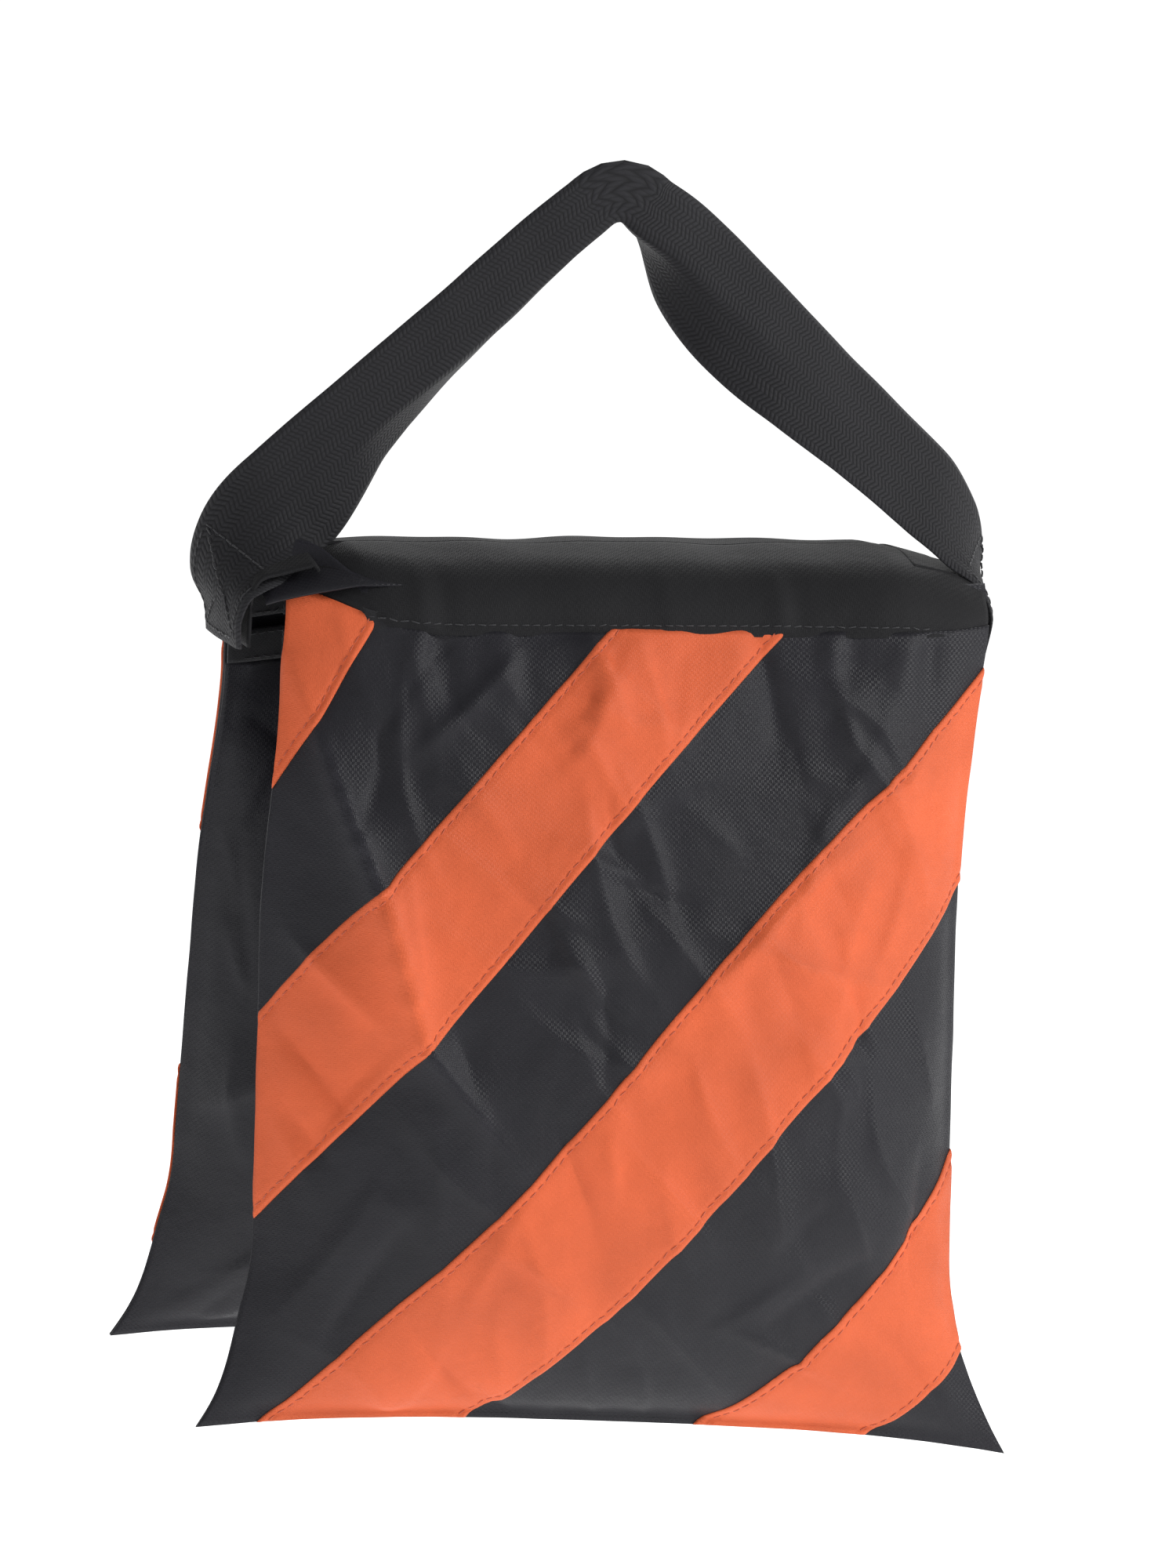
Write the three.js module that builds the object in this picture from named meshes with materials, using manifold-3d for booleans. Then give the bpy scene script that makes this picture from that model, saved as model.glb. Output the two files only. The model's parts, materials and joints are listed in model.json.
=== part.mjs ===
// Saddle sandbag: two sand-filled pouches hanging from a soft saddle, carried by one webbing handle.
// Millimetres, +Z up, +X to the right, the front pouch on -Y. The origin is the hook seat: the
// underside of the handle's crest, where a boom hook or a hand holds the bag.
import * as THREE from 'three';
import { mergeVertices } from 'three/addons/utils/BufferGeometryUtils.js';
import Module from 'manifold-3d';

const wasm = await Module();
wasm.setup();

// ---- driving dimensions ----
const SADDLE_TOP_Z = -97;
const SADDLE_HALF_DEPTH = 31;
const SADDLE_HALF_LENGTH = 97;
const SADDLE_END_HALF_DEPTH = 15;
const SADDLE_CLOTH = 1.2;
const POUCH_HEIGHT = 259;
const POUCH_TILT = THREE.MathUtils.degToRad(5.5);
const HINGE_DROP = 1.2;
const TOP_HALF_WIDTH = 112;
const WAIST_HALF_WIDTH = 106;
const EAR_HALF_WIDTH = 127;
const EAR_DROP = 6;
const SHOULDER_SHARE = 0.4;
const FLARE_SHARE = 0.22;
const BAND_HEIGHT = 20;
const OUTER_BULGE = 32;
const INNER_BULGE = 40;
const CORNER_PULL = 15;
const CORNER_PULL_FADE = 55;
const CORNER_PULL_SHARE = 0.32;
const SEAM_STAND = 1;
const TOP_MARGIN = 1;
const CLOTH = 1.0;
const GAP = 0.3;
const STRIPE_RISE = 1.08;
const STRIPE_STARTS = [-118, 16, 144, 287];
const STRIPE_RUN = 61;
const STRIPE_CLOTH = 0.8;
const STRIPE_REACH = 160;
const BAND_CLOTH = 0.6;
const LINER_DEPTHS = [62, 251];
const LINER_INSET = 9;
const LINER_LEAN = 4;
const LINER_SIDE_WALL = 2;
const LINER_FACE_WALL = 1.4;
const LINER_END_WALL = 3;
const SAND_DEPTHS = [96, 236];
const SAND_INSET = 26;
const SAND_LEAN = 14;
const LENS_EDGE = 0.4;
const YOKE_HEIGHT = 14;
const ZIP_TAPE_HEIGHT = 10;
const ZIP_TAPE_THICK = 0.8;
const ZIP_TAPE_HALF_LENGTH = 104;
const ZIP_COIL_WIDTH = 4;
const ZIP_COIL_THICK = 2;
const ZIP_HALF_LENGTH = 68;
const ZIP_STOP_LENGTH = 2.5;
const ZIP_STOP_HEIGHT = 3.8;
const ZIP_STOP_NEAR = 0.9;
const ZIP_STOP_FAR = 3.4;
const ZIP_SLIDER_X = 58;
const SLIDER_PLATE_FAR = 5;
const SLIDER_PLATE_THICK = 1.6;
const BRIDGE_NEAR = 4.9;
const BRIDGE_WIDTH = 1.8;
const PULLER_FAR = 6.6;
const PULLER_THICK = 1.2;
const WEBBING_WIDTH = 38;
const WEBBING_THICK = 2.4;
const TAB_TOP_Z = -108;
const TAB_BOTTOM_Z = -127;
const TAB_CLOTH = 1;
const HANDLE_FOLD_Z = -79;
const HANDLE_FOLD_GAP = 1.5;
const CREST_HEIGHT = 19;
const CREST_THICK = 7;

const COLOURS = {
  webbing: 0x3a3b40,
  saddle: 0x27272b,
  black: 0x2f2f36,
  orange: 0xe6744c,
  tape: 0x1d1d20,
  coil: 0x161618,
  metal: 0x9a9aa0,
  liner: 0xcfd2d6,
  sand: 0xc8ac7c,
};

// ---- shared helpers ----
function clean(geometry) {
  geometry.deleteAttribute('normal');
  geometry.deleteAttribute('uv');
  return mergeVertices(geometry, 1e-4);
}

function finish(geometry) {
  geometry.computeVertexNormals();
  return geometry;
}

function part(name, geometry, colour, roughness = 0.8, metalness = 0) {
  const material = new THREE.MeshStandardMaterial({ color: COLOURS[colour], roughness, metalness });
  const mesh = new THREE.Mesh(finish(geometry), material);
  mesh.name = name;
  return mesh;
}

function toSolid(geometry) {
  const merged = geometry.index && !geometry.attributes.uv ? geometry : clean(geometry);
  return new wasm.Manifold(new wasm.Mesh({
    numProp: 3,
    vertProperties: new Float32Array(merged.attributes.position.array),
    triVerts: new Uint32Array(merged.index.array),
  }));
}

function toGeometry(solid) {
  const mesh = solid.getMesh();
  const geometry = new THREE.BufferGeometry();
  geometry.setAttribute('position', new THREE.BufferAttribute(new Float32Array(mesh.vertProperties), 3));
  geometry.setIndex(new THREE.BufferAttribute(new Uint32Array(mesh.triVerts), 1));
  return geometry;
}

// A closed sheet of two facing grids. place(u, v, side) gives a grid point: u runs 0..1 towards +X,
// v runs 0..1 downwards, side is 0 on the -Y face and 1 on the +Y face. Both faces split their cells
// along the same diagonal, so that sheets laid over each other keep their gap.
function shapedBox(columns, rows, place) {
  const positions = [];
  const triangles = [];
  const index = (i, j, side) => (side * (rows + 1) + j) * (columns + 1) + i;
  const quad = (a, b, c, d) => triangles.push(a, b, c, a, c, d);
  for (let side = 0; side <= 1; side += 1) {
    for (let j = 0; j <= rows; j += 1) {
      for (let i = 0; i <= columns; i += 1) positions.push(...place(i / columns, j / rows, side));
    }
  }
  for (let j = 0; j < rows; j += 1) {
    for (let i = 0; i < columns; i += 1) {
      quad(index(i, j, 0), index(i, j + 1, 0), index(i + 1, j + 1, 0), index(i + 1, j, 0));
      triangles.push(index(i, j, 1), index(i + 1, j + 1, 1), index(i, j + 1, 1));
      triangles.push(index(i, j, 1), index(i + 1, j, 1), index(i + 1, j + 1, 1));
    }
  }
  for (let i = 0; i < columns; i += 1) {
    quad(index(i, 0, 0), index(i + 1, 0, 0), index(i + 1, 0, 1), index(i, 0, 1));
    quad(index(i, rows, 1), index(i + 1, rows, 1), index(i + 1, rows, 0), index(i, rows, 0));
  }
  for (let j = 0; j < rows; j += 1) {
    quad(index(0, j, 0), index(0, j, 1), index(0, j + 1, 1), index(0, j + 1, 0));
    quad(index(columns, j, 1), index(columns, j, 0), index(columns, j + 1, 0), index(columns, j + 1, 1));
  }
  const geometry = new THREE.BufferGeometry();
  geometry.setAttribute('position', new THREE.Float32BufferAttribute(positions, 3));
  geometry.setIndex(triangles);
  return geometry;
}

function block(x0, x1, y0, y1, z0, z1) {
  const geometry = new THREE.BoxGeometry(x1 - x0, y1 - y0, z1 - z0);
  geometry.translate((x0 + x1) / 2, (y0 + y1) / 2, (z0 + z1) / 2);
  return clean(geometry);
}

// ---- the pouch's form, in its own frame ----
// The origin is the middle of the pouch's hinge line, outward is -Y and depth runs down -Z.
function halfWidth(depth) {
  const t = depth / POUCH_HEIGHT;
  const shoulder = Math.max(0, 1 - t / SHOULDER_SHARE);
  const flare = Math.max(0, 1 - (1 - t) / FLARE_SHARE);
  return WAIST_HALF_WIDTH
    + (TOP_HALF_WIDTH - WAIST_HALF_WIDTH) * shoulder ** 2
    + (EAR_HALF_WIDTH - WAIST_HALF_WIDTH) * flare ** 2;
}

// The handle pulls the pouch's two top corners in towards the saddle's middle: 0 along the middle of
// the edge, rising to 1 at its ends.
function cornerRamp(across) {
  return Math.max(0, 1 - (1 - Math.abs(across)) / CORNER_PULL_SHARE) ** 1.5;
}

function cornerPull(across, depth) {
  return CORNER_PULL * cornerRamp(across) * Math.exp(-depth / CORNER_PULL_FADE);
}

// 0 at every seam, 1 at the belly a little below the middle. down runs 0..1 from seam to seam.
function belly(across, down) {
  const side = Math.max(0, 1 - Math.abs(across) ** 2.5) ** 0.75;
  const fall = Math.max(0, Math.sin(Math.PI * down ** 1.35)) ** 0.7;
  return side * fall;
}

// One layer of the pouch between two depths: inset narrows it, and near and far give its two
// faces' distances from the seam plane.
function pouchLayer(columns, rows, top, bottom, inset, near, far) {
  return shapedBox(columns, rows, (u, v, side) => {
    const depth = top + (bottom - top) * v;
    const across = 2 * u - 1;
    const drop = EAR_DROP * Math.abs(across) ** 3 * (depth / POUCH_HEIGHT) ** 6;
    const offset = side === 0 ? near(across, v) : far(across, v);
    const x = across * (halfWidth(depth) - inset);
    return [x, offset + cornerPull(x / halfWidth(depth), depth), -(depth + drop)];
  });
}

function outerSkin(standOff, thickness) {
  const surface = (across, down) => -CLOTH - standOff - OUTER_BULGE * belly(across, down);
  return pouchLayer(14, 12, BAND_HEIGHT + GAP, POUCH_HEIGHT, 0,
    (across, down) => surface(across, down) - thickness, surface);
}

function innerTop() {
  return TOP_MARGIN + YOKE_HEIGHT + 2 * ZIP_TAPE_HEIGHT + ZIP_COIL_WIDTH + 4 * GAP;
}

// ---- pouch pieces ----
function topBand() {
  return pouchLayer(12, 1, TOP_MARGIN, BAND_HEIGHT, 0, () => -CLOTH - BAND_CLOTH, () => -BAND_CLOTH);
}

function outerPanel() {
  return outerSkin(0, CLOTH);
}

function stripe(skin, start) {
  const climb = STRIPE_REACH * STRIPE_RISE;
  const outline = new THREE.Shape([
    new THREE.Vector2(-STRIPE_REACH, -climb - start),
    new THREE.Vector2(STRIPE_REACH, climb - start),
    new THREE.Vector2(STRIPE_REACH, climb - start - STRIPE_RUN),
    new THREE.Vector2(-STRIPE_REACH, -climb - start - STRIPE_RUN),
  ]);
  const prism = new THREE.ExtrudeGeometry(outline, { depth: STRIPE_REACH, bevelEnabled: false });
  prism.rotateX(Math.PI / 2);
  prism.translate(0, STRIPE_REACH / 2, 0);
  return toGeometry(skin.intersect(toSolid(prism)));
}

function innerYoke() {
  return pouchLayer(12, 1, TOP_MARGIN, TOP_MARGIN + YOKE_HEIGHT, 0,
    () => SEAM_STAND, () => SEAM_STAND + CLOTH);
}

function zipTape(top) {
  const half = ZIP_TAPE_HALF_LENGTH;
  return shapedBox(12, 1, (u, v, side) => {
    const depth = top + ZIP_TAPE_HEIGHT * v;
    const x = (2 * u - 1) * half;
    const y = SEAM_STAND + side * ZIP_TAPE_THICK + cornerPull(x / halfWidth(depth), depth);
    return [x, y, -depth];
  });
}

function zipCoil(depth) {
  const section = new THREE.Shape();
  section.absellipse(0, 0, ZIP_COIL_THICK / 2, ZIP_COIL_WIDTH / 2, 0, Math.PI * 2);
  const options = { depth: 2 * ZIP_HALF_LENGTH, bevelEnabled: false, curveSegments: 8 };
  const geometry = new THREE.ExtrudeGeometry(section, options);
  geometry.rotateY(Math.PI / 2);
  geometry.rotateX(Math.PI / 2);
  geometry.translate(-ZIP_HALF_LENGTH, SEAM_STAND + ZIP_COIL_THICK / 2, -depth);
  return clean(geometry);
}

function zipStop(side, depth) {
  const inner = ZIP_HALF_LENGTH + GAP;
  const x0 = side < 0 ? -inner - ZIP_STOP_LENGTH : inner;
  const half = ZIP_STOP_HEIGHT / 2;
  return block(x0, x0 + ZIP_STOP_LENGTH, ZIP_STOP_NEAR, ZIP_STOP_FAR, -depth - half, -depth + half);
}

// A shield-shaped top plate over the coil with an arched bridge that holds the puller.
function zipSlider(depth) {
  const shield = new THREE.Shape([
    new THREE.Vector2(-6, -3),
    new THREE.Vector2(5, -4.6),
    new THREE.Vector2(6.5, -2.5),
    new THREE.Vector2(6.5, 2.5),
    new THREE.Vector2(5, 4.6),
    new THREE.Vector2(-6, 3),
  ]);
  const plate = new THREE.ExtrudeGeometry(shield, { depth: SLIDER_PLATE_THICK, bevelEnabled: false });
  plate.rotateX(Math.PI / 2);
  plate.translate(0, SLIDER_PLATE_FAR, 0);
  const arch = new THREE.Shape([
    new THREE.Vector2(-4, 0),
    new THREE.Vector2(-2.2, 0),
    new THREE.Vector2(-2.2, 2.2),
    new THREE.Vector2(2.2, 2.2),
    new THREE.Vector2(2.2, 0),
    new THREE.Vector2(4, 0),
    new THREE.Vector2(4, 2.6),
    new THREE.Vector2(2.8, 3.8),
    new THREE.Vector2(-2.8, 3.8),
    new THREE.Vector2(-4, 2.6),
  ]);
  const bridge = new THREE.ExtrudeGeometry(arch, { depth: BRIDGE_WIDTH, bevelEnabled: false });
  bridge.translate(0, BRIDGE_NEAR, -BRIDGE_WIDTH / 2);
  const geometry = toGeometry(toSolid(plate).add(toSolid(bridge)));
  geometry.translate(ZIP_SLIDER_X, 0, -depth);
  return geometry;
}

// A flat pull tab with a window at its head for the bridge and a grip hole at its tail.
function zipPuller(depth) {
  const outline = new THREE.Shape([
    new THREE.Vector2(0.8, -3.2),
    new THREE.Vector2(0.8, 3.2),
    new THREE.Vector2(-5, 3.2),
    new THREE.Vector2(-20, 4.2),
    new THREE.Vector2(-23, 2.6),
    new THREE.Vector2(-23, -2.6),
    new THREE.Vector2(-20, -4.2),
    new THREE.Vector2(-5, -3.2),
  ]);
  const head = new THREE.Path([
    new THREE.Vector2(-0.5, -1.6),
    new THREE.Vector2(-5, -1.6),
    new THREE.Vector2(-5, 1.6),
    new THREE.Vector2(-0.5, 1.6),
  ]);
  const grip = new THREE.Path();
  grip.absellipse(-17.5, 0, 3, 1.8, 0, Math.PI * 2, true);
  outline.holes.push(head, grip);
  const options = { depth: PULLER_THICK, bevelEnabled: false, curveSegments: 6 };
  const geometry = new THREE.ExtrudeGeometry(outline, options);
  geometry.rotateX(Math.PI / 2);
  geometry.translate(ZIP_SLIDER_X, PULLER_FAR, -depth);
  return clean(geometry);
}

function innerPanel() {
  const surface = (across, down) => SEAM_STAND + INNER_BULGE * belly(across, down);
  return pouchLayer(14, 12, innerTop(), POUCH_HEIGHT, 0, surface,
    (across, down) => surface(across, down) + CLOTH);
}

// A lens that fits inside the pouch: inset narrows it, and lean thins it on each face.
function lens(top, bottom, inset, lean) {
  return pouchLayer(10, 9, top, bottom, inset,
    (across, down) => -LENS_EDGE - (OUTER_BULGE - lean) * belly(across, down),
    (across, down) => LENS_EDGE + (INNER_BULGE - lean) * belly(across, down));
}

// The polythene bag round the sand, open along its gathered neck.
function linerBag() {
  const [top, bottom] = LINER_DEPTHS;
  const outside = toSolid(lens(top, bottom, LINER_INSET, LINER_LEAN));
  const hollow = toSolid(lens(top + LINER_END_WALL, bottom - LINER_END_WALL,
    LINER_INSET + LINER_SIDE_WALL, LINER_LEAN + LINER_FACE_WALL));
  const neck = toSolid(block(-40, 40, -3, 4, -110, -50));
  return toGeometry(outside.subtract(hollow).subtract(neck));
}

function sandFill() {
  return lens(...SAND_DEPTHS, SAND_INSET, SAND_LEAN);
}

// ---- one whole pouch ----
function pouch(prefix) {
  const group = new THREE.Group();
  const add = (name, ...rest) => group.add(part(`${prefix}_${name}`, ...rest));
  const tapeTop = TOP_MARGIN + YOKE_HEIGHT + GAP;
  const coilDepth = tapeTop + ZIP_TAPE_HEIGHT + GAP + ZIP_COIL_WIDTH / 2;
  add('top_band', topBand(), 'saddle');
  add('outer_panel', outerPanel(), 'black', 0.6);
  const skin = toSolid(outerSkin(CLOTH + GAP, STRIPE_CLOTH));
  STRIPE_STARTS.forEach((start, i) => add(`stripe_${i + 1}`, stripe(skin, start), 'orange', 0.55));
  add('inner_yoke', innerYoke(), 'black', 0.6);
  add('zip_tape_upper', zipTape(tapeTop), 'tape');
  add('zip_tape_lower', zipTape(coilDepth + ZIP_COIL_WIDTH / 2 + GAP), 'tape');
  add('zip_coil', zipCoil(coilDepth), 'coil', 0.5);
  add('zip_end_stop', zipStop(-1, coilDepth), 'metal', 0.35, 0.9);
  add('zip_top_stop', zipStop(1, coilDepth), 'metal', 0.35, 0.9);
  add('zip_slider', zipSlider(coilDepth), 'metal', 0.3, 0.9);
  add('zip_puller', zipPuller(coilDepth), 'metal', 0.3, 0.9);
  add('inner_panel', innerPanel(), 'black', 0.6);
  add('liner_bag', linerBag(), 'liner', 0.3);
  add('sand_fill', sandFill(), 'sand', 0.95);
  group.rotation.x = -POUCH_TILT;
  group.position.set(0, -SADDLE_HALF_DEPTH, SADDLE_TOP_Z - HINGE_DROP);
  return group;
}

// ---- saddle ----
function saddleHalfDepth(x) {
  return SADDLE_HALF_DEPTH - CORNER_PULL * cornerRamp(x / TOP_HALF_WIDTH);
}

// A flat cloth of the saddle's plan, its long edges drawn in towards the ends.
function saddleSheet(top, edge, halfLength) {
  return shapedBox(14, 1, (u, v, side) => {
    const x = (2 * u - 1) * halfLength;
    return [x, (2 * side - 1) * (saddleHalfDepth(x) - edge), top - v * SADDLE_CLOTH];
  });
}

// The turned-down cloth end that the handle's tail is sewn to.
function saddleTab(side) {
  const near = side * (TOP_HALF_WIDTH + TAB_CLOTH);
  const far = near + side * TAB_CLOTH;
  const half = SADDLE_END_HALF_DEPTH;
  return block(Math.min(near, far), Math.max(near, far), -half, half, TAB_BOTTOM_Z, TAB_TOP_Z);
}

// ---- handle ----
// A ribbon through stations of [centre, width direction, width, thickness].
function ribbon(stations) {
  const centres = new THREE.CatmullRomCurve3(stations.map((s) => s.centre), false, 'centripetal');
  return shapedBox(stations.length - 1, 1, (u, v, side) => {
    const i = Math.round(u * (stations.length - 1));
    const { centre, wide, width, thick } = stations[i];
    const along = centres.getTangentAt(THREE.MathUtils.clamp(arcShare(stations, i), 0, 1));
    const normal = new THREE.Vector3().crossVectors(wide, along).normalize();
    const corner = centre.clone()
      .addScaledVector(wide, (v - 0.5) * width)
      .addScaledVector(normal, (0.5 - side) * thick);
    return corner.toArray();
  });
}

function arcShare(stations, index) {
  let total = 0;
  let here = 0;
  for (let i = 1; i < stations.length; i += 1) {
    total += stations[i].centre.distanceTo(stations[i - 1].centre);
    if (i === index) here = total;
  }
  return here / total;
}

function station(x, y, z, wide, width, thick) {
  return {
    centre: new THREE.Vector3(x, y, z),
    wide: new THREE.Vector3(...wide).normalize(),
    width,
    thick,
  };
}

// The webbing over the hook: bunched at the crest, opening to its full width down each leg.
function handleStrap() {
  const right = [
    station(7, 0, CREST_HEIGHT / 2 - 2, [-0.35, 0, -1], CREST_HEIGHT, CREST_THICK),
    station(20, 0, -6, [-1, 0, -1], 21, 5),
    station(45, 0, -31, [-1, 0, -1], 25, 3.6),
    station(72, 0, -58, [-1, 0, -1], 29, WEBBING_THICK),
    station(100, 0, -86, [-1, 0, -1], 33, WEBBING_THICK),
  ];
  const crest = station(0, 0, CREST_HEIGHT / 2, [0, 0, -1], CREST_HEIGHT, CREST_THICK);
  const left = right.map((s) => station(-s.centre.x, 0, s.centre.z,
    [-s.wide.x, 0, s.wide.z], s.width, s.thick)).reverse();
  const whole = toSolid(ribbon([...left, crest, ...right]));
  const below = toSolid(block(-160, 160, -30, 30, -200, HANDLE_FOLD_Z + HANDLE_FOLD_GAP));
  return toGeometry(whole.subtract(below));
}

// The twisted lower end of the webbing, from the fold line to the saddle's end.
function handleTail(side) {
  const stations = [
    station(side * 84, 0, -70, [-side, 0, -1], 31, WEBBING_THICK),
    station(side * 95, 0, -81, [-side, 0, -1], 29, WEBBING_THICK),
    station(side * 104, 0, -88, [-side, -0.8, -0.9], 24, WEBBING_THICK),
    station(side * 111, 0, -95, [-side * 0.6, -1, -0.4], 24, WEBBING_THICK),
    station(side * 116, 0, -105, [0, -1, 0], 30, WEBBING_THICK),
    station(side * 116, 0, -128, [0, -1, 0], WEBBING_WIDTH - 4, WEBBING_THICK),
  ];
  const order = side > 0 ? stations : stations.reverse();
  const whole = toSolid(ribbon(order));
  const above = toSolid(block(-160, 160, -30, 30, HANDLE_FOLD_Z - HANDLE_FOLD_GAP, 30));
  return toGeometry(whole.subtract(above));
}

// ---- assembly ----
const bag = new THREE.Group();
bag.add(part('handle_strap', handleStrap(), 'webbing'));
bag.add(part('handle_tail_left', handleTail(-1), 'webbing'));
bag.add(part('handle_tail_right', handleTail(1), 'webbing'));
bag.add(part('saddle_cloth', saddleSheet(SADDLE_TOP_Z, 2, SADDLE_HALF_LENGTH), 'saddle'));
const liningTop = SADDLE_TOP_Z - SADDLE_CLOTH - GAP;
bag.add(part('saddle_lining', saddleSheet(liningTop, 5, SADDLE_HALF_LENGTH - 1), 'black'));
bag.add(part('saddle_tab_left', saddleTab(-1), 'saddle'));
bag.add(part('saddle_tab_right', saddleTab(1), 'saddle'));
bag.add(pouch('front'));
const rear = new THREE.Group();
rear.rotation.z = Math.PI;
rear.add(pouch('rear'));
bag.add(rear);

export default bag;
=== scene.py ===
import json
import math

import bmesh
import bpy
import numpy as np
from mathutils import Matrix, Vector


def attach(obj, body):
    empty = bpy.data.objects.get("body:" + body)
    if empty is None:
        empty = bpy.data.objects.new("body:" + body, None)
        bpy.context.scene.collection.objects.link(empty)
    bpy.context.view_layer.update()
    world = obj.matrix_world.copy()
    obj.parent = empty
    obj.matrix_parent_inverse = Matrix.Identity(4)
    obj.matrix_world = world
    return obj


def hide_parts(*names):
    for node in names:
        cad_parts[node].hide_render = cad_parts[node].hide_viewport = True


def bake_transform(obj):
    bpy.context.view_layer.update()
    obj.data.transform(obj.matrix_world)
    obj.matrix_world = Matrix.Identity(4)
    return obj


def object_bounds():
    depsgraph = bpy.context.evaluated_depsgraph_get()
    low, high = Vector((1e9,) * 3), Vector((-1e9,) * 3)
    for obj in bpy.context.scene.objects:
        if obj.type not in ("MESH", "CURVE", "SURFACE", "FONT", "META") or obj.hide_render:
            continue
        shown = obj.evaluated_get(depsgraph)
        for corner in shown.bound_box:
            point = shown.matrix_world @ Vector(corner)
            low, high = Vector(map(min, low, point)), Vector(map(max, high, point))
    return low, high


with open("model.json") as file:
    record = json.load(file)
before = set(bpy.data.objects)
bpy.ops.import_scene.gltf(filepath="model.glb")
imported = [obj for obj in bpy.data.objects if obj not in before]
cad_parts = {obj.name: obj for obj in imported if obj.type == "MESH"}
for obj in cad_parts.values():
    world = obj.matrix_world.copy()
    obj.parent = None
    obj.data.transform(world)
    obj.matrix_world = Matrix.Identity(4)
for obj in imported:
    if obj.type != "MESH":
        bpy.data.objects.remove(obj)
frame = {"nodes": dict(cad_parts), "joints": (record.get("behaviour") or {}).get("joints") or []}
cad_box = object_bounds()

MM = 0.001

# ---- the bag's form, in millimetres in each pouch's own frame ----
# The origin is the middle of the pouch's hinge line. Outward is -Y and depth runs down -Z.
POUCH_HEIGHT = 259
POUCH_TILT = math.radians(5.5)
TOP_HALF_WIDTH = 112
WAIST_HALF_WIDTH = 106
EAR_HALF_WIDTH = 127
EAR_DROP = 6
SHOULDER_SHARE = 0.4
FLARE_SHARE = 0.22
BAND_HEIGHT = 20
CORNER_PULL = 15
CORNER_PULL_FADE = 55
CORNER_PULL_SHARE = 0.32
CORNER_LIFT = 1.5
OUTER_BULGE = 33
INNER_BULGE = 38
SEAM_LIP = 0.018
SEAM_GAP = 0.2
FACE_STAND = 1.2
INNER_TOP = 40.5
COLUMNS = 76
ROWS = 72
CLOTH_THICK = 0.7
LEFT_SPREAD = 4.5
RIGHT_SPREAD = 5.5
RIGHT_FORWARD = 6
CORNER_DRAWN_IN = 11
CORNER_DRAWN_BACK = 9
CORNER_DRAWN_UP = 12
BOTTOM_SKEW = 6.3
STRIPE_THICK = 0.275
SAND_TOP, SAND_BOTTOM, SAND_SHARE = 98, 234, 0.55
LINER_TOP, LINER_BOTTOM, LINER_SHARE = 62, 251, 0.8

# ---- simulation: lengths in millimetres, the cloth's settings in Blender's units ----
SLACK = 1.035
TOP_GATHER = 1.05
PRESSURE = 3.0
SIM_FRAMES = 24
MOST_MOVE = 9.0
CLOTH_SETTINGS = {
    "vertex_group_mass": "pinned",
    "quality": 7,
    "mass": 0.2,
    "tension_stiffness": 25,
    "compression_stiffness": 25,
    "shear_stiffness": 12,
    "bending_stiffness": 0.35,
    "use_pressure": True,
    "uniform_pressure_force": PRESSURE,
}
WOBBLE = 0.25

# ---- camera, light and stage ----
CAMERA_AZIMUTH = -16.5
CAMERA_ELEVATION = 11
CAMERA_ROLL = 3.2
CAMERA_DISTANCE = 3.2
FRAME_HEIGHT = 0.475
SENSOR = 36
WORLD_STRENGTH = 0.36
AIM_Z = -0.2
# name: (place in metres, side in metres, watts)
LIGHTS = {
    "key": ((1.9, -1.0, 0.95), 0.4, 34),
    "fill": ((-1.4, -2.2, 0.6), 1.2, 6),
    "back": ((0.9, 1.9, 0.9), 1.0, 14),
}
FLOOR_SIZE = 16
FLOOR_BELOW = 0.35
FLOOR_GLOW = 0.75


def add_camera():
    low, high = (Vector(c) for c in cad_box)
    target = (low + high) / 2
    az, el = math.radians(CAMERA_AZIMUTH), math.radians(CAMERA_ELEVATION)
    back = Vector((math.sin(az) * math.cos(el), -math.cos(az) * math.cos(el), math.sin(el)))
    data = bpy.data.cameras.new("camera")
    data.sensor_width = SENSOR
    data.lens = SENSOR * CAMERA_DISTANCE / FRAME_HEIGHT
    data.clip_end = 20
    camera = bpy.data.objects.new("camera", data)
    camera.location = target + back * CAMERA_DISTANCE
    level = (-back).to_track_quat("-Z", "Y").to_matrix()
    rolled = level @ Matrix.Rotation(math.radians(CAMERA_ROLL), 3, "Z")
    camera.rotation_euler = rolled.to_euler()
    bpy.context.collection.objects.link(camera)
    bpy.context.scene.camera = camera


def add_area(name, location, size, power):
    data = bpy.data.lights.new(name, "AREA")
    data.size = size
    data.energy = power
    light = bpy.data.objects.new(name, data)
    light.location = location
    aim = Vector((0, 0, AIM_Z)) - Vector(location)
    light.rotation_euler = aim.to_track_quat("-Z", "Y").to_euler()
    bpy.context.collection.objects.link(light)


def add_stage():
    scene = bpy.context.scene
    scene.view_settings.view_transform = "Standard"
    world = bpy.data.worlds.new("studio")
    world.use_nodes = True
    background = world.node_tree.nodes["Background"].inputs
    background["Color"].default_value = (1, 1, 1, 1)
    background["Strength"].default_value = WORLD_STRENGTH
    scene.world = world
    for name, (place, size, power) in LIGHTS.items():
        add_area(name, place, size, power)
    bpy.ops.mesh.primitive_grid_add(x_subdivisions=8, y_subdivisions=8, size=FLOOR_SIZE)
    floor = bpy.context.object
    floor.name = "floor"
    floor.location = (0, 0, cad_box[0][2] - FLOOR_BELOW)
    floor.data.materials.append(plain_material("floor_paint", (0.9, 0.9, 0.9), 0.8, FLOOR_GLOW))


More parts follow.
